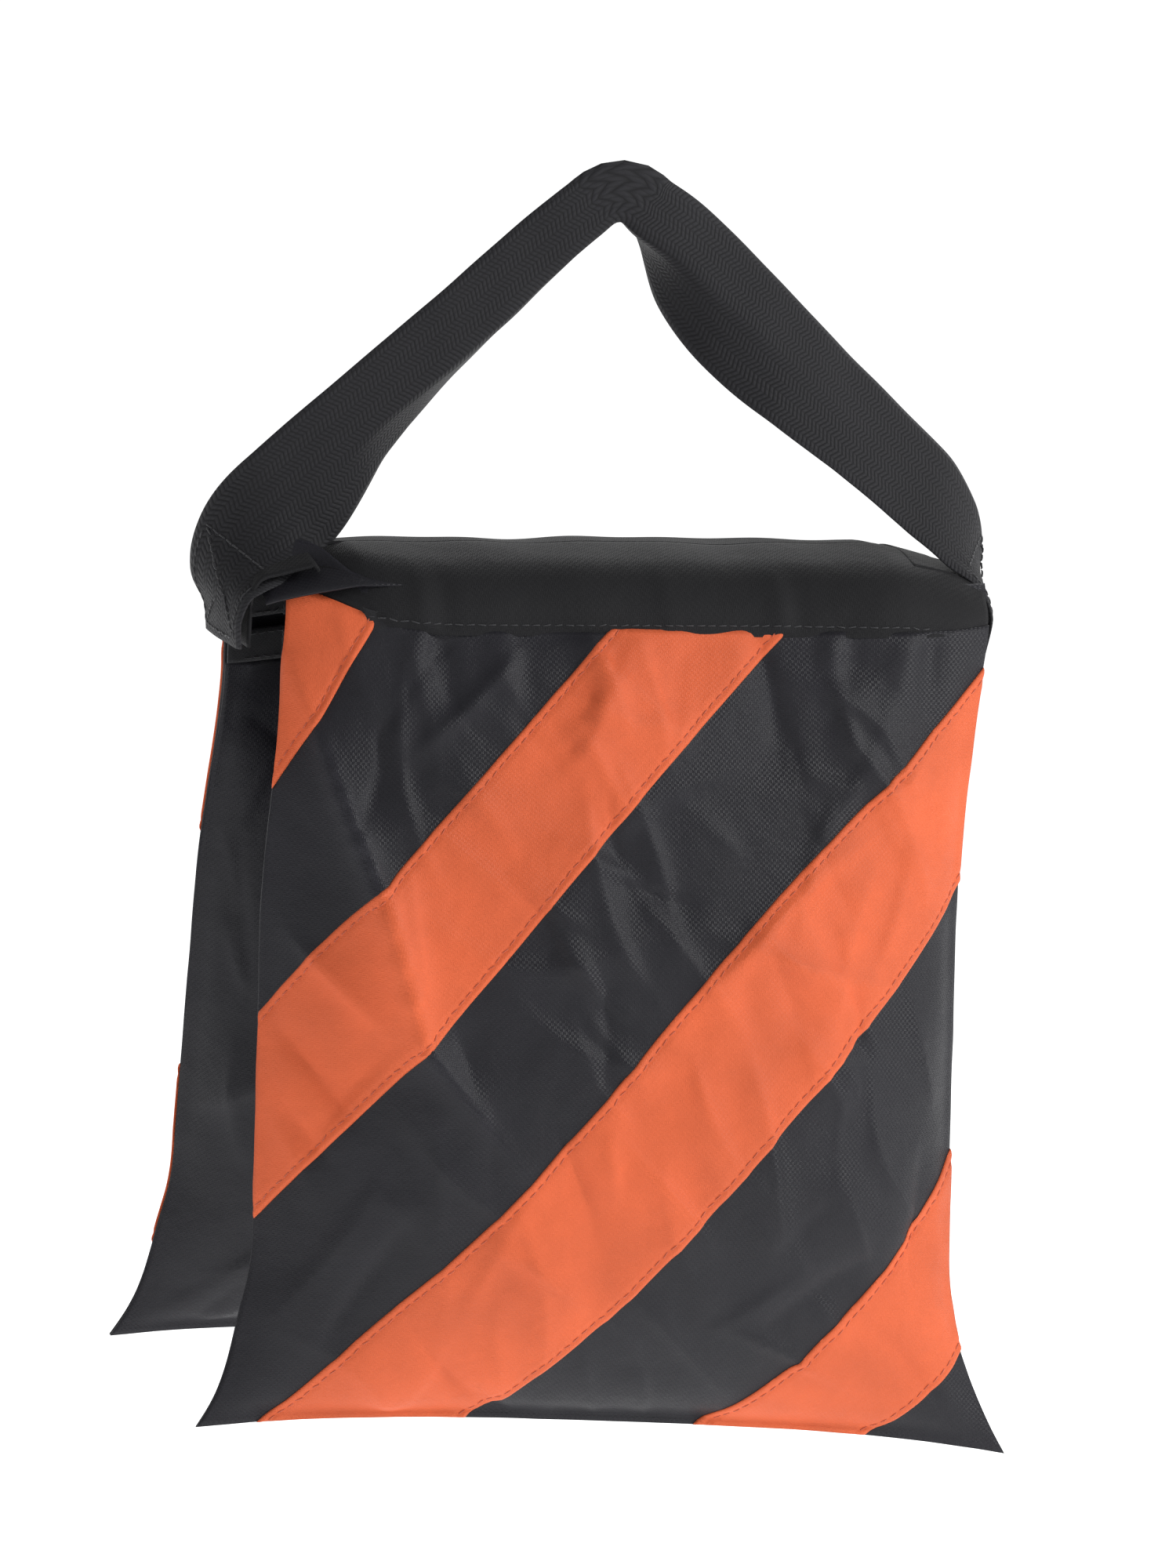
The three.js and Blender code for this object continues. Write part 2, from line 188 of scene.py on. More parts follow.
# ---- node helpers and materials ----
class Nodes:
    """Short calls for building one material's node tree."""

    def __init__(self, name):
        self.material = bpy.data.materials.new(name)
        self.material.use_nodes = True
        self.tree = self.material.node_tree
        self.shader = self.tree.nodes["Principled BSDF"]

    def add(self, kind, inputs=None, **settings):
        node = self.tree.nodes.new(kind)
        for key, value in settings.items():
            setattr(node, key, value)
        for key, value in (inputs or {}).items():
            self.put(node.inputs[key], value)
        return node

    def put(self, socket, value):
        if isinstance(value, bpy.types.NodeSocket):
            self.tree.links.new(value, socket)
        elif isinstance(value, bpy.types.Node):
            self.tree.links.new(value.outputs[0], socket)
        else:
            socket.default_value = value

    def math(self, operation, a, b=0.0, c=0.0):
        return self.add("ShaderNodeMath", {0: a, 1: b, 2: c}, operation=operation).outputs[0]

    def mix(self, factor, a, b):
        node = self.add("ShaderNodeMix", data_type="RGBA")
        self.put(node.inputs["Factor"], factor)
        for socket, value in ((node.inputs["A"], a), (node.inputs["B"], b)):
            self.put(socket, value)
        return node.outputs["Result"]

    def ramp(self, value, low, high):
        node = self.add("ShaderNodeMapRange", {"Value": value, "From Min": low, "From Max": high})
        return node.outputs["Result"]

    def noise(self, vector, scale, detail=3.0, roughness=0.55):
        inputs = {"Vector": vector, "Scale": scale, "Detail": detail, "Roughness": roughness}
        return self.add("ShaderNodeTexNoise", inputs).outputs["Fac"]

    def position(self):
        return self.add("ShaderNodeNewGeometry").outputs["Position"]

    def attribute(self, name, output):
        return self.add("ShaderNodeAttribute", attribute_name=name).outputs[output]

    def bump(self, strength, millimetres, height, normal=None):
        inputs = {"Strength": strength, "Distance": millimetres * MM, "Height": height}
        if normal is not None:
            inputs["Normal"] = normal
        return self.add("ShaderNodeBump", inputs).outputs["Normal"]

    def wave(self, value, factor):
        return self.math("SINE", self.math("MULTIPLY", value, factor))

    def set(self, **values):
        for key, value in values.items():
            self.put(self.shader.inputs[key.replace("_", " ")], value)


def tint(colour, scale=1.0, lift=0.0):
    """A colour made darker or lighter, as a node takes it."""
    return (*[min(1.0, c * scale + lift) for c in colour], 1)


def plain_material(name, colour, roughness, glow):
    n = Nodes(name)
    cloud = n.noise(n.position(), 2.0)
    n.set(Base_Color=n.mix(cloud, tint(colour, 0.97), tint(colour)), Roughness=roughness)
    n.set(Emission_Color=(1, 1, 1, 1), Emission_Strength=glow)
    return n.material


def weave_height(n, cloth, pitch):
    """A plain weave over the cloth's own coordinates, in millimetres: threads of that pitch."""
    x, y, _ = n.add("ShaderNodeSeparateXYZ", {"Vector": cloth}).outputs
    turn = 2 * math.pi / pitch
    warp, weft = n.wave(x, turn), n.wave(y, turn)
    over = n.math("GREATER_THAN", n.math("MULTIPLY", n.wave(x, turn / 2), n.wave(y, turn / 2)), 0.0)
    low = n.math("MULTIPLY", over, n.math("ABSOLUTE", warp))
    high = n.math("MULTIPLY", n.math("SUBTRACT", 1.0, over), n.math("ABSOLUTE", weft))
    return n.math("ADD", low, high)


def cloth_material(name, colour, roughness, pitch=0.85, weave=0.5, sheen=0.15, crumple=0.5, worn_and_highlit=1.35):
    """Coated oxford cloth: a fine plain weave, soft crumples, uneven gloss and seams rubbed pale. The same
    pale tint paints a highlight where the wear attribute carries one, along the front pouch's ridge.
    """
    n = Nodes(name)
    cloth, wear_and_highlight = n.attribute("cloth", "Vector"), n.attribute("wear_and_highlight", "Fac")
    threads = weave_height(n, cloth, pitch)
    patches = n.noise(cloth, 0.02, 4.0)
    grime = n.noise(cloth, 0.11, 5.0, 0.65)
    fibres = n.noise(cloth, 2.2, 2.0)
    dark, pale = tint(colour, 0.82), tint(colour, worn_and_highlit, 0.004)
    tone = n.mix(n.ramp(patches, 0.3, 0.7), dark, tint(colour, 1.12))
    tone = n.mix(n.math("MULTIPLY", n.ramp(grime, 0.45, 0.8), 0.35), tone, dark)
    # Real rubbing at the seams and, on the front pouch's ridge, a painted highlight both lighten the cloth
    # towards the pale tint here.
    rubbed_and_highlit = n.math("MULTIPLY", wear_and_highlight, n.ramp(fibres, 0.35, 0.75))
    tone = n.mix(n.math("MULTIPLY", rubbed_and_highlit, 0.8), tone, pale)
    tone = n.mix(n.math("MULTIPLY", threads, 0.12), tone, dark)
    uneven = n.math("MULTIPLY_ADD", patches, 0.12, roughness - 0.06)
    gloss = n.math("ADD", uneven, n.math("MULTIPLY", rubbed_and_highlit, 0.12))
    n.set(Base_Color=tone, Roughness=gloss)
    n.set(Normal=n.bump(weave, 0.12, threads, n.bump(crumple, 0.9, grime)))
    n.set(Sheen_Weight=sheen, Sheen_Roughness=0.4, Specular_IOR_Level=0.3)
    return n.material


CHEVRON_WIDTH = 3.2


def webbing_material(name, colour, rib=1.5):
    """Woven webbing: ribs across its width, a chevron of yarns and a rubbed, paler selvedge, with painted
    shade darkening the grooves between the yarns.
    """
    n = Nodes(name)
    cloth, wear_and_highlight = n.attribute("cloth", "Vector"), n.attribute("wear_and_highlight", "Fac")
    x, y, _ = n.add("ShaderNodeSeparateXYZ", {"Vector": cloth}).outputs
    across = n.math("PINGPONG", x, CHEVRON_WIDTH)
    slanted = n.math("ADD", y, n.math("MULTIPLY", across, 0.5))
    yarns = n.math("ABSOLUTE", n.wave(slanted, math.pi / rib))
    columns = n.math("ABSOLUTE", n.wave(x, 2 * math.pi / CHEVRON_WIDTH))
    height = n.math("MULTIPLY", yarns, n.math("MULTIPLY_ADD", columns, 0.5, 0.5))
    fuzz = n.noise(cloth, 1.8, 3.0, 0.7)
    patches = n.noise(cloth, 0.03, 3.0)
    dark, pale = tint(colour, 0.55), tint(colour, 1.7, 0.01)
    # Painted shade: the grooves between the ribs and yarns are darkened and their crowns lightened.
    tone = n.mix(n.ramp(height, 0.1, 0.8), dark, tint(colour, 1.2))
    tone = n.mix(n.math("MULTIPLY", n.ramp(patches, 0.4, 0.8), 0.3), tone, dark)
    tone = n.mix(n.math("MULTIPLY", wear_and_highlight, n.ramp(fuzz, 0.4, 0.7)), tone, pale)
    n.set(Base_Color=tone, Roughness=n.math("MULTIPLY_ADD", fuzz, 0.15, 0.62))
    n.set(Normal=n.bump(0.25, 0.2, fuzz, n.bump(0.7, 0.35, height)))
    n.set(Sheen_Weight=0.08, Sheen_Roughness=0.45, Specular_IOR_Level=0.22)
    return n.material


def thread_material(name, colour):
    """Twisted polyester thread, with painted shade in the grooves of its twist and a random fuzz."""
    n = Nodes(name)
    position = n.position()
    twist = n.add("ShaderNodeTexWave", {"Vector": position, "Scale": 900.0, "Distortion": 1.5},
                  bands_direction="DIAGONAL").outputs["Fac"]
    fuzz = n.noise(position, 400.0)
    # Painted shade: darker in the twist's grooves, mixed with random fuzz.
    tone = n.mix(n.ramp(n.math("ADD", twist, fuzz), 0.4, 1.5), tint(colour, 0.7), tint(colour))
    n.set(Base_Color=tone, Roughness=n.math("MULTIPLY_ADD", fuzz, 0.2, 0.5), Normal=n.bump(0.4, 0.1, twist))
    n.set(Sheen_Weight=0.2, Specular_IOR_Level=0.4)
    return n.material


def metal_material(name, paint, bare):
    """Black paint on cast zinc, chipped to bare metal along its edges."""
    n = Nodes(name)
    geometry = n.add("ShaderNodeNewGeometry")
    position = geometry.outputs["Position"]
    grain = n.noise(position, 900.0, 4.0)
    spots = n.noise(position, 260.0, 3.0)
    bevel = n.add("ShaderNodeBevel", {"Radius": 0.35 * MM}, samples=6)
    edge = n.add("ShaderNodeVectorMath", {0: bevel.outputs["Normal"], 1: geometry.outputs["Normal"]},
                 operation="DOT_PRODUCT").outputs["Value"]
    chipped = n.math("MULTIPLY", n.ramp(edge, 0.985, 0.9), n.ramp(spots, 0.42, 0.55))
    n.set(Base_Color=n.mix(chipped, tint(paint), tint(bare)), Metallic=chipped)
    n.set(Roughness=n.math("MULTIPLY_ADD", grain, 0.25, 0.28))
    n.set(Normal=n.bump(0.2, 0.08, grain, bevel.outputs["Normal"]))
    return n.material


def plastic_material(name, colour):
    """Moulded nylon with a faint grain and dusty hollows."""
    n = Nodes(name)
    position = n.position()
    grain = n.noise(position, 1200.0, 3.0)
    dust = n.noise(position, 120.0, 4.0)
    tone = n.mix(n.ramp(dust, 0.5, 0.8), tint(colour), tint(colour, 2, 0.01))
    n.set(Base_Color=tone, Roughness=n.math("MULTIPLY_ADD", dust, 0.2, 0.3), Normal=n.bump(0.15, 0.05, grain))
    return n.material


def film_material(name):
    """Crumpled polythene film."""
    n = Nodes(name)
    position = n.position()
    folds = n.add("ShaderNodeTexVoronoi", {"Vector": position, "Scale": 55.0}, feature="SMOOTH_F1")
    cloud = n.noise(position, 14.0)
    tone = n.mix(cloud, tint((0.66, 0.68, 0.7)), tint((0.82, 0.83, 0.84)))
    n.set(Base_Color=tone, Roughness=n.math("MULTIPLY_ADD", cloud, 0.2, 0.12))
    n.set(Normal=n.bump(0.6, 2, folds.outputs["Distance"]), Transmission_Weight=0.25)
    return n.material


def sand_material(name):
    """Dry washed sand: grains of many tints."""
    n = Nodes(name)
    position = n.position()
    grains = n.add("ShaderNodeTexVoronoi", {"Vector": position, "Scale": 1400.0})
    cloud = n.noise(position, 30.0, 4.0)
    pick = n.add("ShaderNodeSeparateXYZ", {"Vector": grains.outputs["Color"]}).outputs["X"]
    tone = n.mix(n.ramp(pick, 0.0, 1.0), tint((0.38, 0.27, 0.16)), tint((0.74, 0.6, 0.4)))
    tone = n.mix(n.math("MULTIPLY", cloud, 0.4), tone, tint((0.5, 0.37, 0.22)))
    n.set(Base_Color=tone, Roughness=n.math("MULTIPLY_ADD", cloud, 0.1, 0.85))
    n.set(Normal=n.bump(0.8, 0.5, grains.outputs["Distance"]))
    return n.material


# ---- mesh helpers ----
def make_object(name, points, faces, material, cloth=None, wear_and_highlight=None):
    """A mesh object from points in metres, with the cloth's own coordinates and its wear, which on the front
    pouch's ridge also carries a painted highlight.
    """
    mesh = bpy.data.meshes.new(name)
    mesh.from_pydata([tuple(p) for p in points], [], faces)
    for label, kind, values in (("cloth", "FLOAT_VECTOR", cloth), ("wear_and_highlight", "FLOAT", wear_and_highlight)):
        if values is not None:
            layer = mesh.attributes.new(label, kind, "POINT")
            flat = np.asarray(values, np.float32).ravel()
            layer.data.foreach_set("vector" if kind == "FLOAT_VECTOR" else "value", flat)
    mesh.polygons.foreach_set("use_smooth", [True] * len(mesh.polygons))
    mesh.materials.append(material)
    obj = bpy.data.objects.new(name, mesh)
    bpy.context.collection.objects.link(obj)
    return obj


def grid_faces(columns, rows, flip=False):
    """Quads of a grid whose points run along each row first."""
    faces = []
    for j in range(rows - 1):
        for i in range(columns - 1):
            a = j * columns + i
            quad = (a, a + columns, a + columns + 1, a + 1)
            faces.append(quad[::-1] if flip else quad)
    return faces


def tube_faces(first, rings, sides):
    """Faces of a closed tube whose rings of points follow each other from a first index."""
    faces = []
    for k in range(rings - 1):
        a, b = first + k * sides, first + (k + 1) * sides
        for i in range(sides):
            j = (i + 1) % sides
            faces.append((a + i, a + j, b + j, b + i))
    faces.append(tuple(first + i for i in reversed(range(sides))))
    faces.append(tuple(first + (rings - 1) * sides + i for i in range(sides)))
    return faces


def thicken(obj, thickness):
    """Gives an open sheet its thickness behind its face."""
    solid = obj.modifiers.new("thickness", "SOLIDIFY")
    solid.thickness = thickness
    solid.offset = -1
    solid.use_even_offset = False
    bpy.context.view_layer.update()
    graph = bpy.context.evaluated_depsgraph_get()
    mesh = bpy.data.meshes.new_from_object(obj.evaluated_get(graph), depsgraph=graph)
    obj.modifiers.clear()
    obj.data = mesh


def face_outwards(obj):
    """Drops points that no face uses and turns every face of a closed mesh outwards."""
    mesh = bmesh.new()
    mesh.from_mesh(obj.data)
    loose = [v for v in mesh.verts if not v.link_faces]
    bmesh.ops.delete(mesh, geom=loose, context="VERTS")
    bmesh.ops.recalc_face_normals(mesh, faces=mesh.faces)
    mesh.to_mesh(obj.data)
    mesh.free()


def stands_for(obj, body, node):
    """Says which body a piece rides on and which CAD node it replaces."""
    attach(obj, body)
    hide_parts(node)


def arc_length(points):
    """The length along a line of points, or down each column of a grid of them, up to each point."""
    steps = np.linalg.norm(np.diff(points, axis=0), axis=-1)
    return np.concatenate([np.zeros((1, *steps.shape[1:])), np.cumsum(steps, axis=0)])


def unit(vectors):
    return vectors / np.maximum(np.linalg.norm(vectors, axis=-1, keepdims=True), 1e-9)


def grid_cross(grid):
    """Unit normals of a grid of points (rows, columns, 3), all on one side of it."""
    return unit(np.cross(np.gradient(grid, axis=0), np.gradient(grid, axis=1)))


def smoothstep(x, low, high):
    t = np.clip((np.asarray(x, float) - low) / (high - low), 0, 1)
    return t * t * (3 - 2 * t)


# ---- the pouch's form ----
def half_width(depth):
    """Half the pouch's width: shoulders at the top, a waist, and ears at the bottom corners."""
    t = depth / POUCH_HEIGHT
    shoulder = np.maximum(0, 1 - t / SHOULDER_SHARE)
    flare = np.maximum(0, (t - 1 + FLARE_SHARE) / FLARE_SHARE)
    return (WAIST_HALF_WIDTH + (TOP_HALF_WIDTH - WAIST_HALF_WIDTH) * shoulder ** 2
            + (EAR_HALF_WIDTH - WAIST_HALF_WIDTH) * flare ** 2)


def corner_pull(across, depth):
    """How far the handle draws the top corners in towards the saddle's middle."""
    ramp = np.maximum(0, (np.abs(across) - 1 + CORNER_PULL_SHARE) / CORNER_PULL_SHARE)
    return CORNER_PULL * ramp ** 1.5 * np.exp(-depth / CORNER_PULL_FADE)


def seam_depth(across):
    """The depth of the seam under the top band, a little higher at both corners."""
    return BAND_HEIGHT - CORNER_LIFT * np.maximum(0, (np.abs(across) - 0.8) / 0.2) ** 1.3


def belly(across, down):
    """0 at every seam, 1 at the belly a little below the middle."""
    inside = np.clip(np.abs(across) / (1 - SEAM_LIP), 0, 1)
    fall = np.clip(down / (1 - SEAM_LIP), 0, 1)
    side = np.maximum(0, 1 - inside ** 2.5) ** 0.7
    return side * np.maximum(0, np.sin(np.pi * fall ** 1.45)) ** 0.62


def pouch_surface(across, down, side):
    """Points of the inflated pouch's outer (side -1) or inner (side 1) face, in its own frame."""
    top = seam_depth(across) if side < 0 else INNER_TOP
    depth = top + (POUCH_HEIGHT - top) * down
    drop = EAR_DROP * np.abs(across) ** 3 * (depth / POUCH_HEIGHT) ** 6
    bulge = OUTER_BULGE if side < 0 else INNER_BULGE
    y = side * (SEAM_GAP + bulge * belly(across, down) + edge_stand(across) * np.exp(-down / 0.1))
    return np.stack([across * half_width(depth), y + corner_pull(across, depth), -(depth + drop)], -1)


def settle(points, rear):
    """How the hung bag settles out of its even form, in the pouch's frame: the handle draws the front
    pouch's left corner in, the weight lies to the left, and the bottom seam drops to the right."""
    x = points[..., 0] * (-1 if rear else 1)
    depth = -points[..., 2]
    left, right = smoothstep(-x, 35, TOP_HALF_WIDTH), smoothstep(x, 35, TOP_HALF_WIDTH)
    middle = smoothstep(depth, 40, 110) * (1 - smoothstep(depth, 225, POUCH_HEIGHT))
    shift = -LEFT_SPREAD * left * middle
    back, lift = np.zeros_like(x), np.zeros_like(x)
    if not rear:
        drawn = left ** 1.5 * np.exp(-(depth / 48) ** 2)
        shift = shift + CORNER_DRAWN_IN * drawn + RIGHT_SPREAD * right * np.exp(-(depth / 65) ** 2)
        back = CORNER_DRAWN_BACK * drawn - RIGHT_FORWARD * right * np.exp(-(depth / 45) ** 2)
        lift = CORNER_DRAWN_UP * left ** 2.5 * np.exp(-(depth / 42) ** 2)
    drop = BOTTOM_SKEW * x / EAR_HALF_WIDTH * smoothstep(depth, 60, POUCH_HEIGHT)
    return points + np.stack([shift * (-1 if rear else 1), back, lift - drop], -1)


def edge_stand(across):
    """How far a face stands off the pouch's middle plane where nothing fills it."""
    return FACE_STAND * (1 - np.abs(across) ** 8)


def to_row_mm(points, rear):
    """Pouch-frame millimetres to millimetres of the bag's own frame."""
    return to_row(points, rear) / MM


def to_row(points, rear):
    """Pouch-frame millimetres to metres of the bag's own frame."""
    swing = next(j for j in frame["joints"] if j["name"] == "front_pouch_swing")["pos_m"]
    turn = Matrix.Rotation(-POUCH_TILT, 3, "X")
    moved = np.asarray(points, float) @ np.array(turn).T * MM + np.array(swing)
    return moved * np.array([-1, -1, 1]) if rear else moved


# ---- simulation of one pouch ----
def grid_across_down():
    return np.meshgrid(np.linspace(-1, 1, COLUMNS + 1), np.linspace(0, 1, ROWS + 1))


def simulate_pouch(name, seed):
    """Inflates two sewn cloths a little larger than the pouch's form; returns both faces' points."""
    across, down = grid_across_down()
    rear = name.startswith("rear")
    outer = settle(pouch_surface(across, down, -1), rear).reshape(-1, 3)
    inner = settle(pouch_surface(across, down, 1), rear).reshape(-1, 3)
    rng = np.random.default_rng(seed)
    count = len(outer)
    wobble = rng.normal(0, WOBBLE, (ROWS + 1, COLUMNS + 1))
    for axis in (0, 1):
        for _ in range(3):
            wobble = (np.roll(wobble, 1, axis) + wobble * 2 + np.roll(wobble, -1, axis)) / 4
    outer[:, 1] += wobble.ravel() * 3
    inner[:, 1] += wobble[::-1].ravel() * 3
    grid = np.arange(count).reshape(ROWS + 1, COLUMNS + 1)
    rim = np.concatenate([grid[0], grid[-1], grid[:, 0], grid[:, -1]])
    points = np.concatenate([outer, inner])
    faces = grid_faces(COLUMNS + 1, ROWS + 1)
    faces += [tuple(v + count for v in f) for f in grid_faces(COLUMNS + 1, ROWS + 1, flip=True)]
    obj = make_object(name, points * MM, faces, None)
    pinned = obj.vertex_groups.new(name="pinned")
    pinned.add([int(v) for v in rim] + [int(v) + count for v in rim], 1.0, "REPLACE")
    obj.shape_key_add(name="Basis")
    slack = points * SLACK
    slack[:, 0] *= 1 + (TOP_GATHER - 1) * np.exp(-np.concatenate([down, down]).ravel() / 0.12)
    rest = obj.shape_key_add(name="rest")
    rest.data.foreach_set("co", (slack * MM).astype(np.float32).ravel())
    modifier = obj.modifiers.new("cloth", "CLOTH")
    settings = modifier.settings
    settings.rest_shape_key = rest
    for key, value in CLOTH_SETTINGS.items():
        setattr(settings, key, value)
    settings.effector_weights.gravity = 0
    modifier.collision_settings.use_collision = False
    scene = bpy.context.scene
    for step in range(1, SIM_FRAMES + 1):
        scene.frame_set(step)
    graph = bpy.context.evaluated_depsgraph_get()
    settled = np.empty(len(points) * 3, np.float32)
    obj.evaluated_get(graph).data.vertices.foreach_get("co", settled)
    move = settled.reshape(-1, 3) / MM - points
    length = np.linalg.norm(move, axis=1, keepdims=True)
    move *= np.minimum(1, MOST_MOVE / np.maximum(length, 1e-6))
    scene.frame_set(1)
    bpy.data.objects.remove(obj)
    return points[:count] + move[:count], points[count:] + move[count:]


# ---- the pouch's cloth coordinates ----
def arc_coordinates(points):
    """Millimetres along the cloth, across and down, for a grid of points (rows, columns, 3)."""
    u = arc_length(points.swapaxes(0, 1)).T
    u = u - u[:, COLUMNS // 2:COLUMNS // 2 + 1]
    return u, arc_length(points) - points[:1, :, 2]


def grid_normals(points, side):
    """Outward unit normals of a grid of points (rows, columns, 3)."""
    normal = grid_cross(points)
    return normal * np.sign((normal[..., 1] * side).mean())


def refine_grid(values):
    """Doubles a grid's resolution along both axes with smooth (cubic) midpoints."""
    for axis in (0, 1):
        v = np.moveaxis(values, axis, 0)
        padded = np.concatenate([2 * v[:1] - v[1:2], v, 2 * v[-1:] - v[-2:-1]])
        middle = (9 * (padded[1:-2] + padded[2:-1]) - padded[:-3] - padded[3:]) / 16
        fine = np.empty((2 * len(v) - 1, *v.shape[1:]))
        fine[::2] = v
        fine[1::2] = middle
        values = np.moveaxis(fine, 0, axis)
    return values


# Stripe edges as straight lines on the flat outer panel, from the right end to the left end:
# (across, down) in millimetres from the middle of the top of the saddle.
STRIPE_LINES = (
    (((-60, -80), (-200, 60)), ((-83.5, 24.8), (-110.5, 68.9))),
    (((-5.1, 20.4), (-113.6, 135.6)), ((49.3, 22), (-112.7, 200))),
    (((112, 31.6), (-104.9, 265)), ((112, 99), (-43.6, 271.5))),
    (((111.4, 180.3), (30.5, 269.5)), ((114.2, 236.7), (85.8, 266.4))),
)
RISE = 7
RISE_AT = (30, 125)
RISE_REACH = (75, 100)
FOLD_STEPS = (0.45, 1.1, 1.9, 2.4, 2.9, 4.2)
STITCH_INSET = 2.4
STRIPE_STAND = 0.75


def pattern_rise(u, v):
    """The cloth is drawn up where the belly is fullest, so that a straight stripe bows there."""
    return RISE * np.exp(-((u - RISE_AT[0]) / RISE_REACH[0]) ** 2 - ((v - RISE_AT[1]) / RISE_REACH[1]) ** 2)


def stripe_height(inset):
    """How far a stripe stands off the panel at a distance from its folded edge."""
    fold = STRIPE_STAND * (1 - np.exp(-inset / 0.45))
    groove = 0.3 * np.exp(-((inset - STITCH_INSET) / 0.7) ** 2)
    return 0.12 + fold - groove


def cut_stripe(sheet, lines):
    """Cuts a stripe from the outer sheet along two lines; returns its points, cloth, faces and seams."""
    bm = bmesh.new()
    place = bm.verts.layers.float_vector.new("place")
    outward = bm.verts.layers.float_vector.new("outward")
    rows, columns = sheet["u"].shape
    risen = sheet["v"] + pattern_rise(sheet["u"], sheet["v"])
    cloth = np.stack([sheet["u"], risen, np.zeros_like(sheet["u"])], -1).reshape(-1, 3)
    verts = [bm.verts.new(c) for c in cloth]
    for vert, p, n in zip(verts, sheet["points"].reshape(-1, 3), sheet["normals"].reshape(-1, 3)):
        vert[place] = p
        vert[outward] = n
    for face in grid_faces(columns, rows):
        bm.faces.new([verts[i] for i in face])
    edges = []
    for (right, left), keep in zip(lines, (1, -1)):
        start, end = Vector((*right, 0)), Vector((*left, 0))
        along = (end - start).normalized()
        normal = Vector((along.y, -along.x, 0))
        edges.append((start, normal * (keep if normal.y >= 0 else -keep), along))
    cuts = [(start, normal, True) for start, normal, _ in edges]
    cuts += [(start + normal * inset, normal, False) for start, normal, _ in edges for inset in FOLD_STEPS]
    for place_on, normal, clear in cuts:
        everything = bm.verts[:] + bm.edges[:] + bm.faces[:]
        bmesh.ops.bisect_plane(bm, geom=everything, dist=1e-4, plane_co=place_on, plane_no=normal,
                               clear_inner=clear)
    bm.verts.index_update()
    flat = np.array([v.co for v in bm.verts])
    base = np.array([v[place] for v in bm.verts])
    out = np.array([v[outward] for v in bm.verts])
    faces = [[v.index for v in f.verts] for f in bm.faces]
    bm.free()
    insets = [(flat - np.array(start)) @ np.array(normal) for start, normal, _ in edges]
    inset = np.minimum(*insets)
    points = base + out * stripe_height(inset)[:, None]
    seams = []
    for (start, normal, along), distance in zip(edges, insets):
        on_line = np.flatnonzero(np.abs(distance - STITCH_INSET) < 1e-3)
        order = on_line[np.argsort(flat[on_line] @ np.array(along))]
        seams.append((points[order], out[order]))
    return points, flat, faces, inset, seams


# ---- stitches ----
STITCH_RINGS = (-1.0, -0.72, 0.0, 0.72, 1.0)
STITCH_SINK = (-0.22, 0.04, 0.12, 0.04, -0.22)
STITCH_WIDTH = (0.6, 0.95, 1.0, 0.95, 0.6)
STITCH_SIDES = 6
STITCH_DRIFT = 0.12
STITCH_SKEW = 0.09


def point_at(at, run, line):
    return np.array([np.interp(at, run, line[:, k]) for k in range(3)])


def stitches(name, lines, material, body, pitch=3.4, length=2.7, radius=0.24, seed=5):
    """Sewn thread along each line of (points, outward directions), in millimetres of the bag's frame."""
    rng = np.random.default_rng(seed)
    points, faces, wrap = [], [], np.arange(STITCH_SIDES)
    for line, outward in lines:
        run = arc_length(line)
        for start in np.arange(pitch * 0.5, run[-1] - pitch * 0.5, pitch):
            centre = start + rng.normal(0, STITCH_DRIFT)
            skew = rng.normal(0, STITCH_SKEW)
            rings = []
            for along, sink, wide in zip(STITCH_RINGS, STITCH_SINK, STITCH_WIDTH):
                at = centre + along * length / 2
                up = point_at(at, run, outward)
                side = unit(np.cross(point_at(at + 0.5, run, line) - point_at(at - 0.5, run, line), up))
                pos = point_at(at, run, line) + side * skew * along * 2 + up * sink
                angle = wrap * 2 * math.pi / STITCH_SIDES
                ring = (pos + np.outer(np.sin(angle), side) * radius * wide
                        + np.outer(np.cos(angle), up) * radius * wide)
                rings.append(ring)
            faces += tube_faces(len(points) * STITCH_SIDES, len(rings), STITCH_SIDES)
            points.extend(rings)
    obj = make_object(name, np.concatenate(points) * MM, faces, material)
    if body:
        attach(obj, body)
    return obj


# ---- creases on the front pouch ----
# (across, depth) along the long ridge, and its height there
RIDGE = ((-101, 30), (-90, 70), (-79, 102), (-68, 142), (-28, 190))
RIDGE_HEIGHT = (5.0, 9.0, 10.0, 7.5, 0.0)
RIDGE_SIDES = (8, 9)
CREST_WIDTH = 2.4
CREST_HEIGHT = 1.4
CREASE_COUNT = 120
CREASE_HEIGHTS = (0.7, 2.6)
CREASE_LENGTHS = (14, 44)
CREASE_TURNS = (-62, -62, -80, -35, 48)
# (place across, height, half width) of each gather under the top seam
GATHERS = ((-66, 1.6, 4), (-58, -1.2, 4), (-41, 1.5, 5), (-33, -0.8, 4), (-12, 0.6, 6), (18, -0.6, 5),
           (34, 0.7, 5), (62, 1.7, 4), (68, -1.2, 4), (84, 1.6, 5), (91, -1.0, 4))
GATHER_DEPTH = 20
GATHER_FADE = 26


